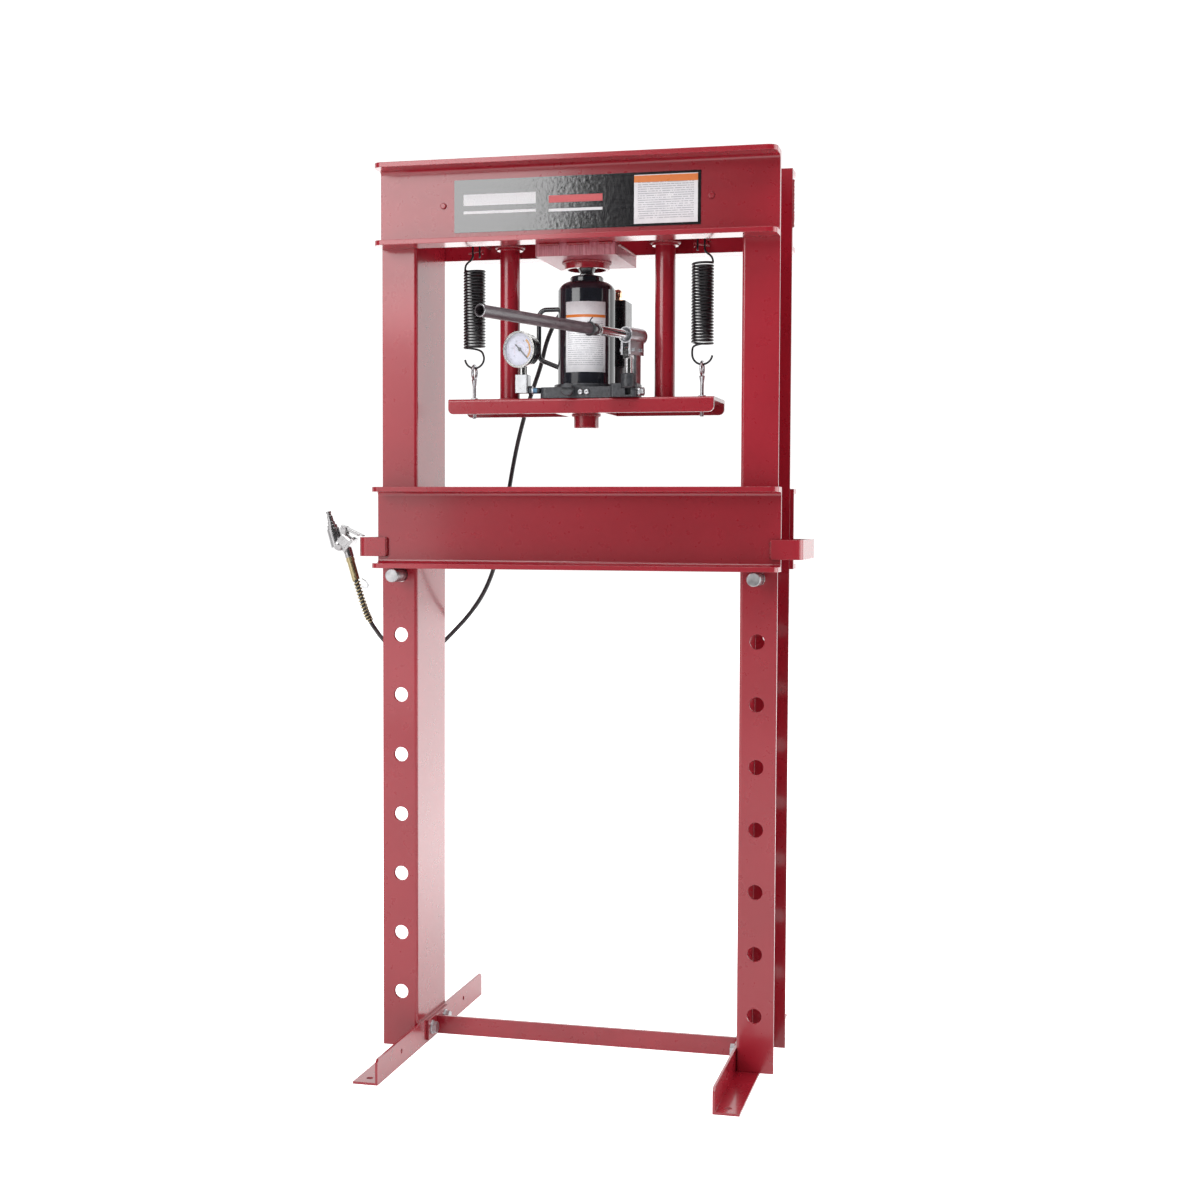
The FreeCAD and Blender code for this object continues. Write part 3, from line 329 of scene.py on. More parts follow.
def sand_cast():
    """Painted sand casting: pitted, lighter grey along the edges where the grain is high: partly wear,
    partly painted highlight.
    """
    f = Finish("painted_casting", coat_weight=0.3, coat_roughness=0.25)
    edge = f.soft_edge(1.5 * MM)
    grain = f.noise(230, 5)
    # a lighter grey along the edges: partly wear, partly a painted highlight
    wear_and_edge_highlight = f.math("MULTIPLY", f.edge_share(edge), f.spread(grain, 0.0, 0.7, 0.45, 0.62))
    base = f.ramp(grain, [(0.3, (0.014, 0.015, 0.018)), (0.7, (0.045, 0.047, 0.055))])
    f.colour(f.mixed(wear_and_edge_highlight, base, (0.16, 0.165, 0.19)))
    f.roughness(f.spread(f.noise(150, 4), 0.32, 0.55))
    pits = f.bump(f.cells(520), 0.15, 0.4 * MM, edge)
    f.normal(f.bump(grain, 0.45, 0.7 * MM, pits))
    return f.material


def lacquered_grip():
    """Brown-grey lacquer on the handle's tube, drawn out along it and scuffed."""
    f = Finish("grip_lacquer", coat_weight=0.2, coat_roughness=0.22, specular_ior_level=0.4)
    drawn = f.noise(1.0, 4, f.stretched((150, 30, 420)))
    f.colour(f.ramp(drawn, [(0.3, (0.036, 0.028, 0.032)), (0.55, (0.065, 0.052, 0.060)),
                            (0.75, (0.11, 0.090, 0.100))]))
    f.roughness(f.spread(f.noise(200, 4), 0.26, 0.42))
    f.normal(f.bump(drawn, 0.18, 0.2 * MM, f.soft_edge(0.8 * MM)))
    return f.material


def hose_rubber():
    """Matt rubber with a fine grain and a few scuffs."""
    f = Finish("hose_rubber", specular_ior_level=0.45)
    f.colour(f.ramp(f.noise(180, 4), [(0.35, (0.018, 0.018, 0.021)), (0.8, (0.050, 0.050, 0.055))]))
    f.roughness(f.spread(f.noise(320, 3), 0.42, 0.62))
    f.normal(f.bump(f.noise(1400, 2), 0.25, 0.15 * MM))
    return f.material


def oiled_spring():
    """Black spring wire with a film of oil."""
    f = Finish("oiled_spring", coat_weight=0.2, coat_roughness=0.2, specular_ior_level=0.35)
    f.colour(f.ramp(f.noise(240, 4), [(0.3, (0.006, 0.006, 0.008)), (0.75, (0.016, 0.016, 0.019))]))
    f.roughness(f.spread(f.noise(400, 3), 0.25, 0.45))
    f.normal(f.bump(f.noise(900, 2), 0.15, 0.1 * MM))
    return f.material


def flat_ink(name, tone, rough=0.5):
    """Ink or plain paint in one colour, mottled a little."""
    f = Finish(name)
    f.colour(f.ramp(f.noise(500, 3), [(0.3, tuple(0.85 * t for t in tone)), (0.7, tone)]))
    f.roughness(f.spread(f.noise(600, 2), rough * 0.85, min(1.0, rough * 1.15)))
    return f.material


def dial_card():
    """The dial's lacquered card."""
    f = Finish("dial_card", coat_weight=0.2, coat_roughness=0.2)
    f.colour(f.ramp(f.noise(90, 3), [(0.3, (0.58, 0.58, 0.70)), (0.7, (0.68, 0.68, 0.80))]))
    f.roughness(f.spread(f.noise(300, 2), 0.4, 0.55))
    return f.material


def clear_window():
    """A clear pane that lets nearly all the light through and keeps a faint gloss."""
    f = Finish("clear_window", alpha=0.10, coat_weight=1.0, coat_roughness=0.02, ior=1.45)
    f.colour(f.ramp(f.noise(8, 1), [(0.3, (0.86, 0.90, 0.94)), (0.7, (0.92, 0.95, 0.97))]))
    f.roughness(f.spread(f.noise(40, 2), 0.02, 0.05))
    return f.material


def banded_pipe():
    """The gauge's pipe: blackened union, pale seal, blue pipe, dark thread."""
    f = Finish("banded_pipe", metallic=0.6)
    split = f.add("ShaderNodeSeparateXYZ")
    f.join(f.place, split.inputs[0])
    low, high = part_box("gauge_pipe")
    along = f.spread(split.outputs["X"], 0.0, 1.0, low.x, high.x)
    f.colour(f.ramp(along, [(0.0, (0.05, 0.055, 0.065)), (0.30, (0.74, 0.76, 0.80)),
                            (0.40, (0.07, 0.15, 0.24)), (0.78, (0.03, 0.03, 0.035))], smooth=False))
    f.roughness(f.spread(f.noise(300, 3), 0.22, 0.4))
    thread = f.noise(1.0, 1, f.stretched((2600, 4, 4)))
    f.normal(f.bump(thread, 0.35, 0.3 * MM, f.soft_edge(0.5 * MM)))
    return f.material


RED = red_enamel()
RED_FOOT = red_enamel("red_enamel_floor_iron", 1.2 * MM, 14.0)
RED_CUT = red_saw_cut()
RED_WELD = weld_red()
BOARD = board_gloss()
PANEL = printed_sheet("board_panel_print", (0.845, 0.985), 22)
LABEL = printed_sheet("jack_label_print", (0.775, 0.815), 34, top=0.72)
ZINC = plated("bright_zinc", (0.562, 0.569, 0.59), 0.26, 0.42, 300, 0.06)
POLISHED = plated("polished_case", (0.656, 0.648, 0.64), 0.10, 0.20, 300, 0.08)
CHROME = plated("polished_chrome", (0.688, 0.68, 0.688), 0.06, 0.13, 500, 0.04)
ALUMINIUM = plated("polished_casting", (0.42, 0.41, 0.415), 0.16, 0.32, 380, 0.25, 1.2 * MM)
BRASS = plated("bright_brass", (0.80, 0.50, 0.33), 0.16, 0.30)
OLIVE_BRASS = plated("dulled_brass", (0.46, 0.38, 0.22), 0.26, 0.44)
TURNED = turned_steel()
JACK = dark_gloss("jack_enamel", (0.0075, 0.0080, 0.0115))
BLACK = dark_gloss("black_enamel", (0.011, 0.011, 0.013), 0.15, 0.18, 0.34)
CAST = sand_cast()
GRIP = lacquered_grip()
RUBBER = hose_rubber()
SPRING = oiled_spring()
CARD = dial_card()
WINDOW = clear_window()
PIPE = banded_pipe()
INK_BLACK = flat_ink("black_ink", (0.02, 0.02, 0.025))
INK_ORANGE = flat_ink("amber_ink", (0.80, 0.36, 0.03))
INK_PINK = flat_ink("rose_ink", (0.66, 0.42, 0.50))
INK_PALE = flat_ink("pale_ink", (0.74, 0.74, 0.76), 0.35)
INK_ROSE = flat_ink("warm_red_ink", (0.60, 0.09, 0.10), 0.35)

CAD_FINISHES = {
    RED: ["upright_left", "upright_right", "top_beam_front", "top_beam_rear", "locating_ring",
          "guide_bridge_left", "guide_bridge_right", "spring_hangers", "beam_plugs", "press_plate",
          "plate_pad", "press_nose", "guide_tube_left", "guide_tube_right", "bed_channel_front",
          "bed_channel_rear", "bed_strap_left", "bed_strap_right"],
    RED_FOOT: ["foot_left", "foot_right", "tie_bar"],
    RED_CUT: ["head_block"],
    BOARD: ["name_board"],
    ZINC: ["foot_fasteners", "spring_eye_bolts", "pump_plug", "pump_lever", "gauge_block", "pump_link"],
    POLISHED: ["gauge_case"],
    CHROME: ["handle_rod", "jack_ram", "jack_cylinder", "pump_plunger"],
    ALUMINIUM: ["air_valve", "valve_lever"],
    BRASS: ["air_elbow"],
    OLIVE_BRASS: ["hose_ferrule"],
    TURNED: ["bed_pin_left", "bed_pin_right"],
    JACK: ["jack_reservoir", "jack_gland_nut", "carry_handle"],
    BLACK: ["extension_screw", "air_motor"],
    CAST: ["jack_base", "pump_barrel", "release_valve"],
    GRIP: ["handle_grip"],
    CARD: ["gauge_dial"],
    WINDOW: ["gauge_window"],
    PIPE: ["gauge_pipe"],
    INK_BLACK: ["gauge_needle"],
}

for material, names in CAD_FINISHES.items():
    for name in names:
        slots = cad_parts[name].material_slots
        for i in range(len(slots)):
            slots[i].material = material


# --- trees that repeat a shape or follow a path ---------------------------------------


class Tree:
    """A node tree that makes geometry, with named inputs."""

    def __init__(self, name, inputs):
        self.group = bpy.data.node_groups.new(name, "GeometryNodeTree")
        face = self.group.interface
        face.new_socket("Geometry", in_out="INPUT", socket_type="NodeSocketGeometry")
        for label, (kind, value) in inputs.items():
            socket = face.new_socket(label, in_out="INPUT", socket_type=f"NodeSocket{kind}")
            if value is not None:
                socket.default_value = value
        face.new_socket("Geometry", in_out="OUTPUT", socket_type="NodeSocketGeometry")
        self.given = self.add("NodeGroupInput").outputs

    def add(self, kind, **sockets):
        """A node, its inputs set to values or joined to other outputs."""
        node = self.group.nodes.new(kind)
        for label, value in sockets.items():
            self.put(node, label.replace("_", " "), value)
        return node

    def put(self, node, label, value):
        socket = node.inputs[label]
        if isinstance(value, bpy.types.NodeSocket):
            self.group.links.new(value, socket)
        else:
            socket.default_value = value

    def math(self, what, *values):
        node = self.add("ShaderNodeMath")
        node.operation = what
        for i, value in enumerate(values):
            self.put(node, i, value)
        return node.outputs[0]

    def vector(self, what, *values, scale=None):
        node = self.add("ShaderNodeVectorMath")
        node.operation = what
        for i, value in enumerate(values):
            self.put(node, i, value)
        if scale is not None:
            self.put(node, "Scale", scale)
        return node.outputs["Vector"]

    def dot(self, first, second):
        node = self.add("ShaderNodeVectorMath")
        node.operation = "DOT_PRODUCT"
        self.put(node, 0, first)
        self.put(node, 1, second)
        return node.outputs["Value"]

    def finish(self, geometry, smooth=True):
        """Real geometry with its material, as every tree ends."""
        shade = self.add("GeometryNodeSetShadeSmooth", Geometry=geometry)
        self.put(shade, "Shade Smooth", smooth)
        real = self.add("GeometryNodeRealizeInstances", Geometry=shade.outputs[0])
        coat = self.add("GeometryNodeSetMaterial", Geometry=real.outputs[0],
                        Material=self.given["Material"])
        self.add("NodeGroupOutput", Geometry=coat.outputs[0])

    def wire(self, curve, radius, sides):
        """A round wire along a curve, closed at its ends."""
        ring = self.add("GeometryNodeCurvePrimitiveCircle", Resolution=sides, Radius=radius)
        tube = self.add("GeometryNodeCurveToMesh", Curve=curve)
        self.put(tube, "Profile Curve", ring.outputs[0])
        self.put(tube, "Fill Caps", True)
        return tube.outputs[0]


def wire_tree():
    """A wire, rod or hose along a path."""
    tree = Tree("wire_along_path", {"Radius": ("Float", 1 * MM), "Sides": ("Int", 12),
                                    "Material": ("Material", None)})
    path = tree.add("GeometryNodeMeshToCurve", Mesh=tree.given["Geometry"])
    tree.finish(tree.wire(path.outputs[0], tree.given["Radius"], tree.given["Sides"]))
    return tree.group


def winding_tree():
    """Wire wound round a path, its first turn starting on a given side."""
    tree = Tree("wire_wound_round_path", {
        "Radius": ("Float", 1 * MM), "Winding": ("Float", 5 * MM), "Turns": ("Float", 5.0),
        "Steps": ("Int", 100), "Side": ("Vector", (1, 0, 0)), "Material": ("Material", None)})
    path = tree.add("GeometryNodeMeshToCurve", Mesh=tree.given["Geometry"])
    fine = tree.add("GeometryNodeResampleCurve", Curve=path.outputs[0], Count=tree.given["Steps"])
    along = tree.add("GeometryNodeInputTangent").outputs[0]
    off = tree.vector("SCALE", along, scale=tree.dot(tree.given["Side"], along))
    start = tree.vector("NORMALIZE", tree.vector("SUBTRACT", tree.given["Side"], off))
    aside = tree.vector("CROSS_PRODUCT", along, start)
    share = tree.add("GeometryNodeSplineParameter").outputs["Factor"]
    angle = tree.math("MULTIPLY", tree.math("MULTIPLY", share, tree.given["Turns"]), 2 * math.pi)
    reach = [tree.math("MULTIPLY", tree.math(way, angle), tree.given["Winding"])
             for way in ("COSINE", "SINE")]
    moved = tree.vector("ADD", tree.vector("SCALE", start, scale=reach[0]),
                        tree.vector("SCALE", aside, scale=reach[1]))
    wound = tree.add("GeometryNodeSetPosition", Geometry=fine.outputs[0], Offset=moved)
    tree.finish(tree.wire(wound.outputs[0], tree.given["Radius"], 8))
    return tree.group


def bead_tree():
    """A weld bead: flattened drops laid one over the next along a path."""
    tree = Tree("weld_bead", {"Size": ("Float", 2.5 * MM), "Step": ("Float", 2 * MM),
                              "Seed": ("Int", 1), "Material": ("Material", None)})
    path = tree.add("GeometryNodeMeshToCurve", Mesh=tree.given["Geometry"])
    fine = tree.add("GeometryNodeResampleCurve", Curve=path.outputs[0])
    fine.mode = "LENGTH"
    tree.put(fine, "Length", tree.given["Step"])
    drop = tree.add("GeometryNodeMeshIcoSphere", Radius=tree.given["Size"], Subdivisions=2)
    points = tree.add("GeometryNodeCurveToPoints", Curve=fine.outputs[0])
    points.mode = "EVALUATED"
    grow = tree.add("FunctionNodeRandomValue", Seed=tree.given["Seed"])
    grow.data_type = "FLOAT_VECTOR"
    tree.put(grow, 0, (0.85, 0.85, 0.85))
    tree.put(grow, 1, (1.18, 1.18, 1.18))
    laid = tree.add("GeometryNodeInstanceOnPoints", Points=points.outputs["Points"],
                    Instance=drop.outputs[0], Scale=grow.outputs[0])
    tree.finish(laid.outputs[0])
    return tree.group


def marks_tree():
    """Bars set out along an arc and pointing at its centre, in the plane across X."""
    tree = Tree("dial_marks", {"Count": ("Int", 11), "Radius": ("Float", 20 * MM),
                               "Long": ("Float", 3 * MM), "Wide": ("Float", 0.4 * MM),
                               "From": ("Float", -135.0), "To": ("Float", 135.0),
                               "Material": ("Material", None)})
    row = tree.add("GeometryNodeMeshLine", Count=tree.given["Count"])
    last = tree.math("SUBTRACT", tree.given["Count"], 1.0)
    share = tree.math("DIVIDE", tree.add("GeometryNodeInputIndex").outputs[0], last)
    sweep = tree.math("SUBTRACT", tree.given["To"], tree.given["From"])
    degrees = tree.math("ADD", tree.math("MULTIPLY", share, sweep), tree.given["From"])
    angle = tree.math("RADIANS", degrees)
    spot = tree.add("ShaderNodeCombineXYZ")
    tree.put(spot, 1, tree.math("MULTIPLY", tree.math("SINE", angle), tree.given["Radius"]))
    tree.put(spot, 2, tree.math("MULTIPLY", tree.math("COSINE", angle), tree.given["Radius"]))
    placed = tree.add("GeometryNodeSetPosition", Geometry=row.outputs[0], Position=spot.outputs[0])
    turn = tree.add("ShaderNodeCombineXYZ")
    tree.put(turn, 0, tree.math("MULTIPLY", angle, -1.0))
    size = tree.add("ShaderNodeCombineXYZ")
    tree.put(size, 0, 0.1 * MM)
    tree.put(size, 1, tree.given["Wide"])
    tree.put(size, 2, tree.given["Long"])
    bar = tree.add("GeometryNodeMeshCube", Size=size.outputs[0])
    laid = tree.add("GeometryNodeInstanceOnPoints", Points=placed.outputs[0],
                    Instance=bar.outputs[0], Rotation=turn.outputs[0])
    tree.finish(laid.outputs[0], smooth=False)
    return tree.group


WIRE, WINDING, BEAD, MARKS = wire_tree(), winding_tree(), bead_tree(), marks_tree()


def path_object(name, paths):
    """Points joined by edges; each path is a list of points, closed if it ends where it starts."""
    points, edges = [], []
    for path in paths:
        first, closed = len(points), (Vector(path[0]) - Vector(path[-1])).length < 1e-9
        body = path[:-1] if closed else path
        points += [tuple(p) for p in body]
        edges += [(first + i, first + i + 1) for i in range(len(body) - 1)]
        if closed:
            edges.append((first + len(body) - 1, first))
    mesh = bpy.data.meshes.new(name)
    mesh.from_pydata(points, edges, [])
    return link(bpy.data.objects.new(name, mesh))


def grown(tree, obj, **values):
    """Run a tree on an object and keep its result as the object's plain mesh."""
    maker = obj.modifiers.new("maker", "NODES")
    maker.node_group = tree
    for socket in tree.interface.items_tree:
        if socket.in_out == "INPUT" and socket.name in values:
            maker[socket.identifier] = values[socket.name]
    bpy.context.view_layer.update()
    mesh = bpy.data.meshes.new_from_object(obj.evaluated_get(bpy.context.evaluated_depsgraph_get()))
    obj.modifiers.remove(maker)
    obj.data = mesh
    return obj


def smooth_line(route, order=3, fineness=12):
    """The points of a smooth spline whose control points are the route."""
    curve = bpy.data.curves.new("route", "CURVE")
    curve.dimensions, curve.resolution_u = "3D", fineness
    line = curve.splines.new("NURBS")
    line.points.add(len(route) - 1)
    for point, place in zip(line.points, route):
        point.co = (*place, 1)
    line.order_u = order
    line.use_endpoint_u = True
    holder = link(bpy.data.objects.new("route", curve))
    bpy.context.view_layer.update()
    mesh = bpy.data.meshes.new_from_object(holder.evaluated_get(bpy.context.evaluated_depsgraph_get()))
    points = [vertex.co.copy() for vertex in mesh.vertices]
    bpy.data.objects.remove(holder)
    return points


def joined(name, parts):
    """Several meshes as one piece."""
    points, faces, materials = [], [], []
    mesh = bpy.data.meshes.new(name)
    owners, smooth = [], []
    for part in parts:
        first = len(points)
        points += [v.co.copy() for v in part.data.vertices]
        for face in part.data.polygons:
            faces.append([first + i for i in face.vertices])
            smooth.append(face.use_smooth)
            finish = part.data.materials[face.material_index]
            if finish not in materials:
                materials.append(finish)
            owners.append(materials.index(finish))
        bpy.data.objects.remove(part)
    mesh.from_pydata(points, [], faces)
    for finish in materials:
        mesh.materials.append(finish)
    mesh.polygons.foreach_set("material_index", owners)
    mesh.polygons.foreach_set("use_smooth", smooth)
    return link(bpy.data.objects.new(name, mesh))


# --- air hose -------------------------------------------------------------------------

HOSE_UPPER = [
    (0.018, 0.078, 1.290), (-0.014, 0.078, 1.290), (-0.048, 0.079, 1.280), (-0.074, 0.081, 1.250),
    (-0.093, 0.084, 1.212), (-0.103, 0.088, 1.172), (-0.120, 0.094, 1.130), (-0.141, 0.106, 1.078),
    (-0.160, 0.120, 1.018), (-0.176, 0.133, 0.950), (-0.188, 0.139, 0.885), (-0.201, 0.140, 0.825),
    (-0.221, 0.139, 0.773), (-0.250, 0.139, 0.731), (-0.285, 0.140, 0.695), (-0.311, 0.137, 0.669),
    (-0.332, 0.127, 0.655),
]
HOSE_LOWER = [
    (-0.332, 0.127, 0.655), (-0.349, 0.107, 0.650), (-0.361, 0.077, 0.660), (-0.368, 0.045, 0.677),
    (-0.3715, 0.014, 0.694), (-0.370, -0.016, 0.709), (-0.371, -0.044, 0.727),
    (-0.3745, -0.061, 0.751), (-0.3802, -0.066, 0.775), (-0.387, -0.066, 0.798),
]
HOSE_WIDE = 7.5 * MM
UPPER_LONG, LOWER_LONG = 0.776, 0.277
# this point of the upper hose's route is level with the bed's top
AT_BED_TOP = 9


def hose(name, route, node, exit_at, long, still, extras=()):
    """A length of rubber hose laid along a smooth line through its route."""
    line = smooth_line(route)
    tube = grown(WIRE, path_object(name, [line]), Radius=HOSE_WIDE / 2, Sides=16, Material=RUBBER)
    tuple(route[0])
    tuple(route[still])
    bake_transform(tube)
    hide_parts(node)
    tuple(exit_at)
    return line


def hose_guard():
    """The coiled guard round the hose where it enters the ferrule."""
    line = smooth_line(HOSE_LOWER)
    tail = [p for p in line if (p - line[-1]).length < 75 * MM]
    guard = grown(WINDING, path_object("hose_guard", [tail]), Radius=1.15 * MM, Winding=5.2 * MM,
                  Turns=13.0, Steps=340, Side=(0, -1, 0), Material=OLIVE_BRASS)
    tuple(HOSE_LOWER[0])
    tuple(HOSE_LOWER[-1])
    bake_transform(guard)
    return guard


hose("air_hose_upper", HOSE_UPPER, "hose_upper", HOSE_UPPER[0],
     UPPER_LONG, AT_BED_TOP)
hose("air_hose_lower", HOSE_LOWER, "hose_lower", HOSE_LOWER[-1],
     LOWER_LONG, -1, [hose_guard()])


# --- return springs -------------------------------------------------------------------

SPRING_X, SPRING_MEAN, SPRING_WIRE, COIL_WIRE = 197 * MM, 16.95 * MM, 3.5 * MM, 3.9 * MM
COIL_LOW, COIL_HIGH, HANGER_Z = 1193.4 * MM, 1325.2 * MM, 1376 * MM


def return_spring(name, side):
    """A close-wound tension spring: hook over the hanger, coil, and open ring in the eye."""
    x, mean = side * SPRING_X, SPRING_MEAN
    coil = grown(WINDING, path_object("coil", [[(x, 0, COIL_LOW), (x, 0, COIL_HIGH)]]),
                 Radius=COIL_WIRE / 2, Winding=mean, Turns=26.0, Steps=840,
                 Side=(side, 0, 0), Material=SPRING)
    loop = 6.05 * MM
    rise, fall, crest = x + side * (loop - 3 * MM), x - side * (loop + 3 * MM), HANGER_Z + loop
    hook = smooth_line([
        (x + side * mean, 0.5 * MM, COIL_HIGH), (x + side * mean, 0, COIL_HIGH + 5 * MM),
        (x + side * mean * 0.8, 0, COIL_HIGH + 12 * MM), (rise, 0, COIL_HIGH + 19 * MM),
        (rise, 0, HANGER_Z - 20 * MM), (rise, 0, HANGER_Z - loop), (rise, 0, crest), (fall, 0, crest),
        (fall, 0, HANGER_Z - loop), (fall, 0, HANGER_Z - 30 * MM)])
    centre = 1176.05 * MM
    ring = [(x + mean * math.cos(a), 0, centre + mean * math.sin(a))
            for a in np.radians(np.linspace(180, 352, 16) if side > 0 else np.linspace(0, -172, 16))]
    lead = smooth_line([
        (x + side * mean, 0, COIL_LOW), (x + side * 12 * MM, -12.5 * MM, COIL_LOW - 1.0 * MM),
        (x, -16 * MM, COIL_LOW - 2.2 * MM), (x - side * 12 * MM, -11 * MM, COIL_LOW - 4.5 * MM),
        (x - side * 16.6 * MM, -3 * MM, COIL_LOW - 9 * MM), ring[0]])
    ends = grown(WIRE, path_object("ends", [hook, lead + [Vector(p) for p in ring[1:]]]),
                 Radius=SPRING_WIRE / 2, Sides=10, Material=SPRING)
    spring = joined(name, [coil, ends])
    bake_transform(spring)
    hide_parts("return_spring_" + ("right" if side > 0 else "left"))
    # a thin keeper pin stops the hook from jumping off its hanger
    low_z = HANGER_Z - 20 * MM
    keeper = grown(WIRE, path_object(name + "_keeper", [
        [(fall - side * 7 * MM, 0.5 * MM, low_z + 2 * MM),
         (rise + side * 8 * MM, -0.5 * MM, low_z - 3 * MM)],
        [(fall - side * 6 * MM, 1 * MM, low_z + 6 * MM), (fall - side * 5 * MM, 0, low_z - 4 * MM)],
    ]), Radius=1.3 * MM, Sides=8, Material=RED_WELD)
    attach(keeper, "frame")


return_spring("spring_wire_left", -1)
return_spring("spring_wire_right", 1)


# --- welds ----------------------------------------------------------------------------


def circle(x, y, z, radius, start=0.0, stop=360.0):
    """Points round an upright axis."""
    angles = np.radians(np.linspace(start, stop, 40))
    return [(x + radius * math.cos(a), y + radius * math.sin(a), z) for a in angles]


def welds(name, body, paths, size=2.6 * MM, seed=3):
    """Weld beads along several paths, riding on one body."""
    bead = grown(BEAD, path_object(name, paths), Size=size, Step=size * 0.8, Seed=seed,
                 Material=RED_WELD)
    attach(bead, body)


def weld_frame():
    """Beads on the head block, the ring, the sleeves and the rear channel's ends."""
    low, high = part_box("head_block")
    front, edge = low.y - 0.5 * MM, high.z - 1.5 * MM
    ring_low, ring_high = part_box("locating_ring")
    paths = [
        [(-0.058, front, edge), (-0.030, front, edge)], [(-0.012, front, edge), (0.022, front, edge)],
        [(0.042, front, edge), (0.060, front, edge)],
        [(low.x - 0.5 * MM, low.y + 0.02, edge), (low.x - 0.5 * MM, high.y - 0.02, edge)],
        [(high.x + 0.5 * MM, low.y + 0.02, edge), (high.x + 0.5 * MM, high.y - 0.02, edge)],
        circle(0, 0, ring_high.z - 1.2 * MM, (ring_high.x - ring_low.x) / 2 + 0.8 * MM),
    ]
    beam_low, beam_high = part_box("top_beam_rear")
    for side in (-1, 1):
        x, y = side * (beam_high.x + 0.3 * MM), beam_low.y + 0.5 * MM
        paths.append([(x, y, beam_high.z - 0.095), (x, y, beam_high.z - 0.02)])
    welds("weld_beads_frame", "frame", paths)
    collars = []
    for label in ("guide_bridge_left", "guide_bridge_right"):
        low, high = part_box(label)
        x = (low.x + high.x) / 2
        collars += [circle(x, 0, low.z + 6 * MM, 23 * MM), circle(x, 0, low.z + 36 * MM, 23 * MM)]
    welds("weld_beads_sleeves", "frame", collars, 3.0 * MM, 5)


def weld_head():
    """Beads round the guides' feet and the nose."""
    plate_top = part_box("press_plate")[1].z
    nose_low, nose_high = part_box("press_nose")
    guide_low, guide_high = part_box("guide_tube_left")
    x = (guide_low.x + guide_high.x) / 2
    reach = (guide_high.x - guide_low.x) / 2
    paths = [circle(side * x, 0, plate_top + 1 * MM, reach + 1 * MM) for side in (-1, 1)]
    paths.append(circle(0, 0, nose_high.z - 1 * MM, (nose_high.x - nose_low.x) / 2 + 1 * MM))
    welds("weld_beads_head", "press_head", paths, 2.3 * MM, 8)


def weld_bed():
    """Beads at the straps' ends, front and back."""
    paths = []
    for label in ("bed_strap_left", "bed_strap_right"):
        low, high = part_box(label)
        inner = high.x if high.x < 0 else low.x
        inner -= math.copysign(0.6 * MM, inner)
        for y in (low.y + 3 * MM, high.y - 3 * MM):
            paths.append([(inner, y, low.z + 3 * MM), (inner, y, high.z - 3 * MM)])
    welds("weld_beads_bed", "bed", paths, 2.6 * MM, 11)


weld_frame()
weld_head()
weld_bed()


# --- labels and boards ----------------------------------------------------------------


def sheet_mesh(name, place, across, up, thick, material):
    """A thin closed sheet over a grid; place gives a point for two shares and a height off it."""
    mesh = bpy.data.meshes.new(name)
    points, faces, shares = [], [], []
    for level in (thick, 0.0):
        for j in range(up + 1):
            for i in range(across + 1):
                points.append(place(i / across, j / up, level))
                shares.append((i / across, j / up))
    row, layer = across + 1, (across + 1) * (up + 1)
    for j in range(up):
        for i in range(across):
            a = j * row + i
            faces.append((a, a + 1, a + 1 + row, a + row))
            faces.append((layer + a, layer + a + row, layer + a + 1 + row, layer + a + 1))
    rim = (list(range(across)) + [across + j * row for j in range(up)]
           + [up * row + i for i in range(across, 0, -1)] + [j * row for j in range(up, 0, -1)])
    for i, a in enumerate(rim):
        b = rim[(i + 1) % len(rim)]
        faces.append((a, layer + a, layer + b, b))
    mesh.from_pydata(points, [], faces)
    layer_uv = mesh.uv_layers.new(name="label")
    for loop in mesh.loops:
        layer_uv.data[loop.index].uv = shares[loop.vertex_index]
    mesh.materials.append(material)
    mesh.polygons.foreach_set("use_smooth", [across > 4] * len(mesh.polygons))
    return link(bpy.data.objects.new(name, mesh))


def jack_label():
    """The label wrapped round the reservoir's front."""
    low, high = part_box("jack_reservoir")
    radius = (high.x - low.x) / 2
    first, last, foot, head = math.radians(-31.5), math.radians(54), 1.146, 1.262

    def place(u, v, level):
        angle, reach = first + (last - first) * u, radius + 0.05 * MM + level
        return (reach * math.sin(angle), -reach * math.cos(angle), foot + (head - foot) * v)

    label = sheet_mesh("jack_label", place, 40, 2, 0.15 * MM, LABEL)
    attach(label, "press_head")


def flat_sheet(name, x, z, y, material, thick=0.2 * MM):
    """A flat sheet on a face that looks to the front."""
    def place(u, v, level):
        return (x[0] + (x[1] - x[0]) * u, y - level, z[0] + (z[1] - z[0]) * v)

    sheet = sheet_mesh(name, place, 2, 2, thick, material)
    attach(sheet, "frame")


def board_prints():
    """Plain bars and a ruled panel on the board, in place of any name."""
    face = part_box("name_board")[0].y - 0.02 * MM
    flat_sheet("board_panel", (0.0985, 0.203), (1.379, 1.457), face, PANEL)
    flat_sheet("board_bar_long", (-0.190, -0.066), (1.4185, 1.4370), face, INK_PALE)
    flat_sheet("board_bar_thin", (-0.190, -0.066), (1.4050, 1.4095), face, INK_PALE)
    flat_sheet("board_bar_rose", (-0.044, 0.046), (1.4185, 1.4300), face, INK_ROSE)
    flat_sheet("board_bar_small", (-0.044, 0.046), (1.4040, 1.4085), face, INK_PALE)


jack_label()
board_prints()


# --- gauge ----------------------------------------------------------------------------

FACING = Vector((-0.276, -0.961, 0)).normalized()
# in this frame the dial looks along +X, its right is +Y and its top +Z
GAUGE = Matrix.Translation(Vector((-0.1017, -0.060, 1.184))) @ Matrix.Rotation(
    math.atan2(FACING.y, FACING.x), 4, "Z")
PRINT_DEPTH = -4.93 * MM


def on_dial(obj):
    """Move a flat piece from the drawing plane on to the dial."""
    obj.data.transform(GAUGE @ Matrix.Translation((PRINT_DEPTH, 0, 0)))
    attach(obj, "press_head")


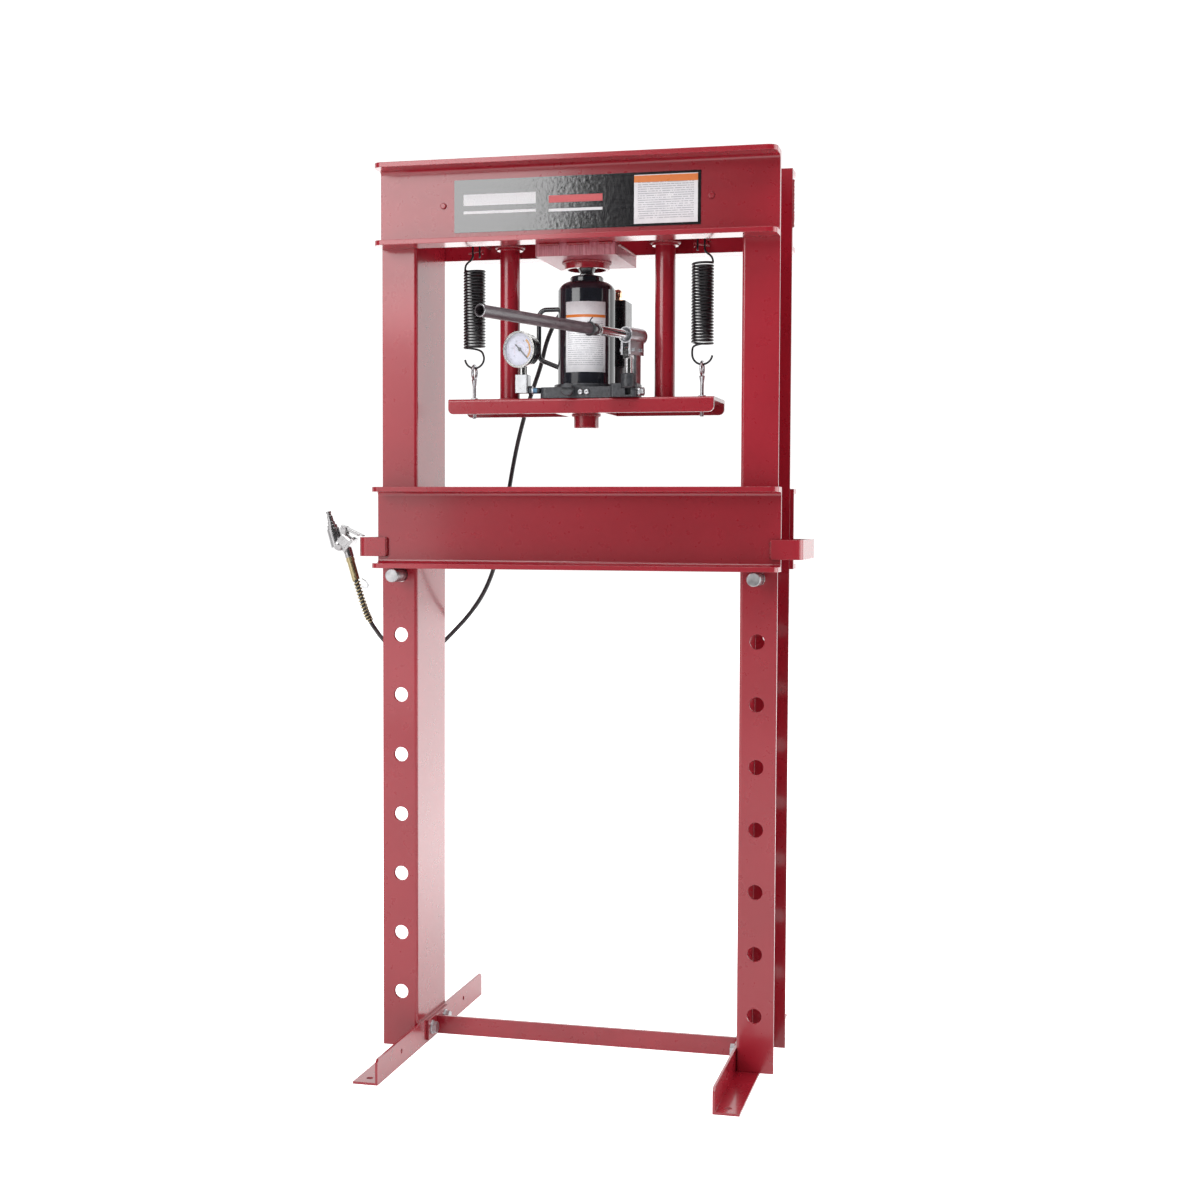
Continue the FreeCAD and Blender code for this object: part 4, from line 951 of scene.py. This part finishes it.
def dial_marks(name, material, **values):
    """A ring or band of bars on the dial."""
    seed = path_object(name, [[(0, 0, 0), (0, 0, 1 * MM)]])
    on_dial(grown(MARKS, seed, Material=material, **values))


def dial_numbers():
    """Figures from 0 to 50 round the dial."""
    parts, reach = [], 15.2 * MM
    for i in range(6):
        text = bpy.data.curves.new("figure", "FONT")
        text.body, text.size, text.extrude = str(10 * i), 3.6 * MM, 0.05 * MM
        text.align_x = text.align_y = "CENTER"
        holder = link(bpy.data.objects.new("figure", text))
        bpy.context.view_layer.update()
        depsgraph = bpy.context.evaluated_depsgraph_get()
        mesh = bpy.data.meshes.new_from_object(holder.evaluated_get(depsgraph))
        bpy.data.objects.remove(holder)
        angle = math.radians(-135 + 54 * i)
        upright = Matrix(((0, 0, 1, 0), (1, 0, 0, 0), (0, 1, 0, 0), (0, 0, 0, 1)))
        spot = Matrix.Translation((0, reach * math.sin(angle), reach * math.cos(angle)))
        mesh.transform(spot @ upright)
        mesh.materials.clear()
        mesh.materials.append(INK_BLACK)
        parts.append(link(bpy.data.objects.new("figure", mesh)))
    on_dial(joined("dial_figures", parts))


dial_marks("dial_marks_long", INK_BLACK, Count=11, Radius=23.2 * MM, Long=3.0 * MM, Wide=0.5 * MM)
dial_marks("dial_marks_short", INK_BLACK, Count=51, Radius=23.8 * MM, Long=1.6 * MM, Wide=0.25 * MM)
dial_marks("dial_band", INK_ORANGE, Count=30, Radius=19.2 * MM, Long=3.6 * MM, Wide=1.5 * MM,
           From=38.0, To=130.0)
dial_marks("dial_ring", INK_PINK, Count=90, Radius=11.4 * MM, Long=0.5 * MM, Wide=0.7 * MM,
           From=-135.0, To=135.0)
dial_numbers()


# --- turned trim on the jack, handle and valve ----------------------------------------


def lathe(name, start, way, profile, material, sides=48):
    """A solid turned round a line; the profile lists reach and distance along it."""
    way = Vector(way).normalized()
    turn = way.to_track_quat("Z", "Y").to_matrix()
    points, faces = [], []
    for reach, along in profile:
        for i in range(sides):
            angle = 2 * math.pi * i / sides
            offset = Vector((reach * math.cos(angle), reach * math.sin(angle), along))
            points.append(Vector(start) + turn @ offset)
    rings = len(profile)
    for k in range(rings):
        after = (k + 1) % rings
        for i in range(sides):
            j = (i + 1) % sides
            faces.append((k * sides + i, k * sides + j, after * sides + j, after * sides + i))
    mesh = bpy.data.meshes.new(name)
    mesh.from_pydata(points, [], faces)
    mesh.materials.append(material)
    mesh.polygons.foreach_set("use_smooth", [True] * len(faces))
    mesh.update()
    return link(bpy.data.objects.new(name, mesh))


def ring_profile(inner, outer, low, high, ease=0.4 * MM):
    """A closed ring's section, its outer corners eased, run so that its faces point outwards."""
    return [(outer - ease, low), (outer, low + ease), (outer, high - ease), (outer - ease, high),
            (inner, high), (inner, low)]


HANDLE_WAY = Vector((-0.349, -0.937, 0)).normalized()
SOCKET = Vector((0.09368, -0.04038, 1.203))
ROD_REACH = 7.55 * MM


def handle_trim():
    """The rubber ring and the stepped collar where the grip meets the rod, and the open end's lip."""
    pieces = [
        ("handle_collar", (ROD_REACH, 9.6 * MM, 112 * MM, 131.9 * MM, 0.8 * MM), BLACK, "grip_paint"),
        ("handle_bright_ring", (ROD_REACH, 8.9 * MM, 109.5 * MM, 111.8 * MM, 0.5 * MM),
         CHROME, "chrome"),
        ("handle_rubber_ring", (9.1 * MM, 11.6 * MM, 133 * MM, 136.4 * MM, 1.5 * MM),
         RUBBER, "rubber"),
        ("grip_lip", (7.8 * MM, 9.35 * MM, 414.4 * MM, 416.0 * MM, 0.4 * MM), ZINC, "grip_paint"),
    ]
    for name, section, material, slot in pieces:
        piece = lathe(name, SOCKET, HANDLE_WAY, ring_profile(*section), material)
        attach(piece, "handle")
    side = HANDLE_WAY.cross(Vector((0, 0, 1)))
    start = SOCKET + HANDLE_WAY * (134.5 * MM) + Vector((0, 0, 11 * MM))
    tail = smooth_line([start, start + Vector((0, 0, 4 * MM)) - side * 2 * MM,
                        start + Vector((0, 0, 6 * MM)) - side * 8 * MM + HANDLE_WAY * 4 * MM])
    wire = grown(WIRE, path_object("handle_ring_tail", [tail]), Radius=0.9 * MM, Sides=8,
                 Material=SPRING)
    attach(wire, "handle")


def base_screws():
    """Two round screw heads, drilled in the middle, beside the release valve."""
    parts = []
    for x in (3 * MM, 14 * MM):
        face = Vector((x, -54 * MM, 1.1125))
        head = [(0.6 * MM, 0), (4.4 * MM, 0), (4.4 * MM, 2.2 * MM), (3.6 * MM, 3.0 * MM),
                (0.6 * MM, 3.0 * MM), (0.6 * MM, 1.4 * MM)]
        parts.append(lathe("screw", face, (0, -1, 0), head, ZINC, 24))
    screws = joined("base_screws", parts)
    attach(screws, "press_head")


def valve_trim():
    """The bright wire loop under the valve."""
    loop = smooth_line([(-0.376, -0.0665, 0.800), (-0.368, -0.072, 0.798), (-0.361, -0.0735, 0.789),
                        (-0.367, -0.0735, 0.783), (-0.374, -0.073, 0.788)])
    wire = grown(WIRE, path_object("valve_wire_loop", [loop]), Radius=0.8 * MM, Sides=8,
                 Material=ZINC)
    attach(wire, "bed")


handle_trim()
base_screws()
valve_trim()


# --- floor and light ------------------------------------------------------------------


def lay_floor():
    """A wide pale floor that glows to the viewer and, towards its back, in reflections."""
    f = Finish("pale_floor", roughness=0.9)
    f.colour(f.ramp(f.noise(0.7, 2), [(0.3, (0.90, 0.90, 0.905)), (0.7, (0.94, 0.94, 0.945))]))
    f.shader.inputs["Emission Color"].default_value = (1, 1, 1, 1)
    rays = f.add("ShaderNodeLightPath").outputs
    split = f.add("ShaderNodeSeparateXYZ")
    f.join(f.place, split.inputs[0])
    behind = f.spread(split.outputs["Y"], 0.2, 1.2, 0.1, 1.6)
    glow = f.math("ADD", f.math("MULTIPLY", rays["Is Camera Ray"], 1.0),
                  f.math("MULTIPLY", rays["Is Glossy Ray"], behind))
    f.join(f.math("ADD", glow, 0.25), f.shader.inputs["Emission Strength"])
    mesh = bpy.data.meshes.new("floor")
    far = 14
    corners = [(-far, -far, 0), (far, -far, 0), (far, far, 0), (-far, far, 0)]
    mesh.from_pydata(corners, [], [(0, 1, 2, 3)])
    mesh.materials.append(f.material)
    floor = link(bpy.data.objects.new("floor", mesh))


def soft_light(name, place, aim, wide, tall, power):
    """A rectangular soft light aimed at a point, and not seen itself."""
    lamp = bpy.data.lights.new(name, "AREA")
    lamp.shape, lamp.size, lamp.size_y, lamp.energy = "RECTANGLE", wide, tall, power
    obj = link(bpy.data.objects.new(name, lamp))
    way = Vector(aim) - Vector(place)
    turn = way.to_track_quat("-Z", "Y").to_matrix().to_4x4()
    obj.matrix_world = Matrix.Translation(place) @ turn
    obj.visible_camera = False


def light_studio():
    """A white sweep behind the press and a dim room before it, with soft boxes round it."""
    scene.view_settings.view_transform = "Standard"
    world = bpy.data.worlds.new("studio")
    scene.world = world
    world.use_nodes = True
    nodes, links = world.node_tree.nodes, world.node_tree.links
    nodes.clear()

    def backdrop(tones, strength):
        """A room whose tone runs from its front to its back."""
        shade = nodes.new("ShaderNodeValToRGB")
        for band, (at, tone) in zip(shade.color_ramp.elements, tones):
            band.position, band.color = at, (tone, tone, tone, 1)
        links.new(lift.outputs["Result"], shade.inputs["Fac"])
        room = nodes.new("ShaderNodeBackground")
        links.new(shade.outputs["Color"], room.inputs["Color"])
        room.inputs["Strength"].default_value = strength
        return room.outputs[0]

    def choose(share, first, second):
        mix = nodes.new("ShaderNodeMixShader")
        links.new(share, mix.inputs[0])
        links.new(first, mix.inputs[1])
        links.new(second, mix.inputs[2])
        return mix.outputs[0]

    coords, split = nodes.new("ShaderNodeTexCoord"), nodes.new("ShaderNodeSeparateXYZ")
    links.new(coords.outputs["Generated"], split.inputs[0])
    lift = nodes.new("ShaderNodeMapRange")
    lift.inputs["From Min"].default_value, lift.inputs["From Max"].default_value = -1.0, 1.0
    links.new(split.outputs["Y"], lift.inputs["Value"])
    diffuse = backdrop(((0.30, 0.22), (0.62, 1.0)), 0.75)
    glossy = backdrop(((0.36, 0.05), (0.60, 1.0)), 1.2)
    seen = nodes.new("ShaderNodeBackground")
    seen.inputs["Strength"].default_value = 1.4
    rays = nodes.new("ShaderNodeLightPath").outputs
    output = nodes.new("ShaderNodeOutputWorld")
    shine = choose(rays["Is Glossy Ray"], diffuse, glossy)
    links.new(choose(rays["Is Camera Ray"], shine, seen.outputs[0]), output.inputs["Surface"])
    soft_light("soft_box_left", (-2.05, -3.4, 2.55), (0, 0, 1.2), 2.4, 1.9, 76)
    soft_light("soft_box_low", (-2.35, -3.3, 0.85), (0, 0, 0.8), 2.0, 1.5, 14)
    soft_light("soft_box_top", (0.4, -1.2, 3.6), (0, 0, 0.8), 2.6, 1.6, 60)
    soft_light("soft_box_right", (3.0, 0.5, 1.2), (0, 0, 0.9), 2.4, 2.4, 48)


lay_floor()
light_studio()
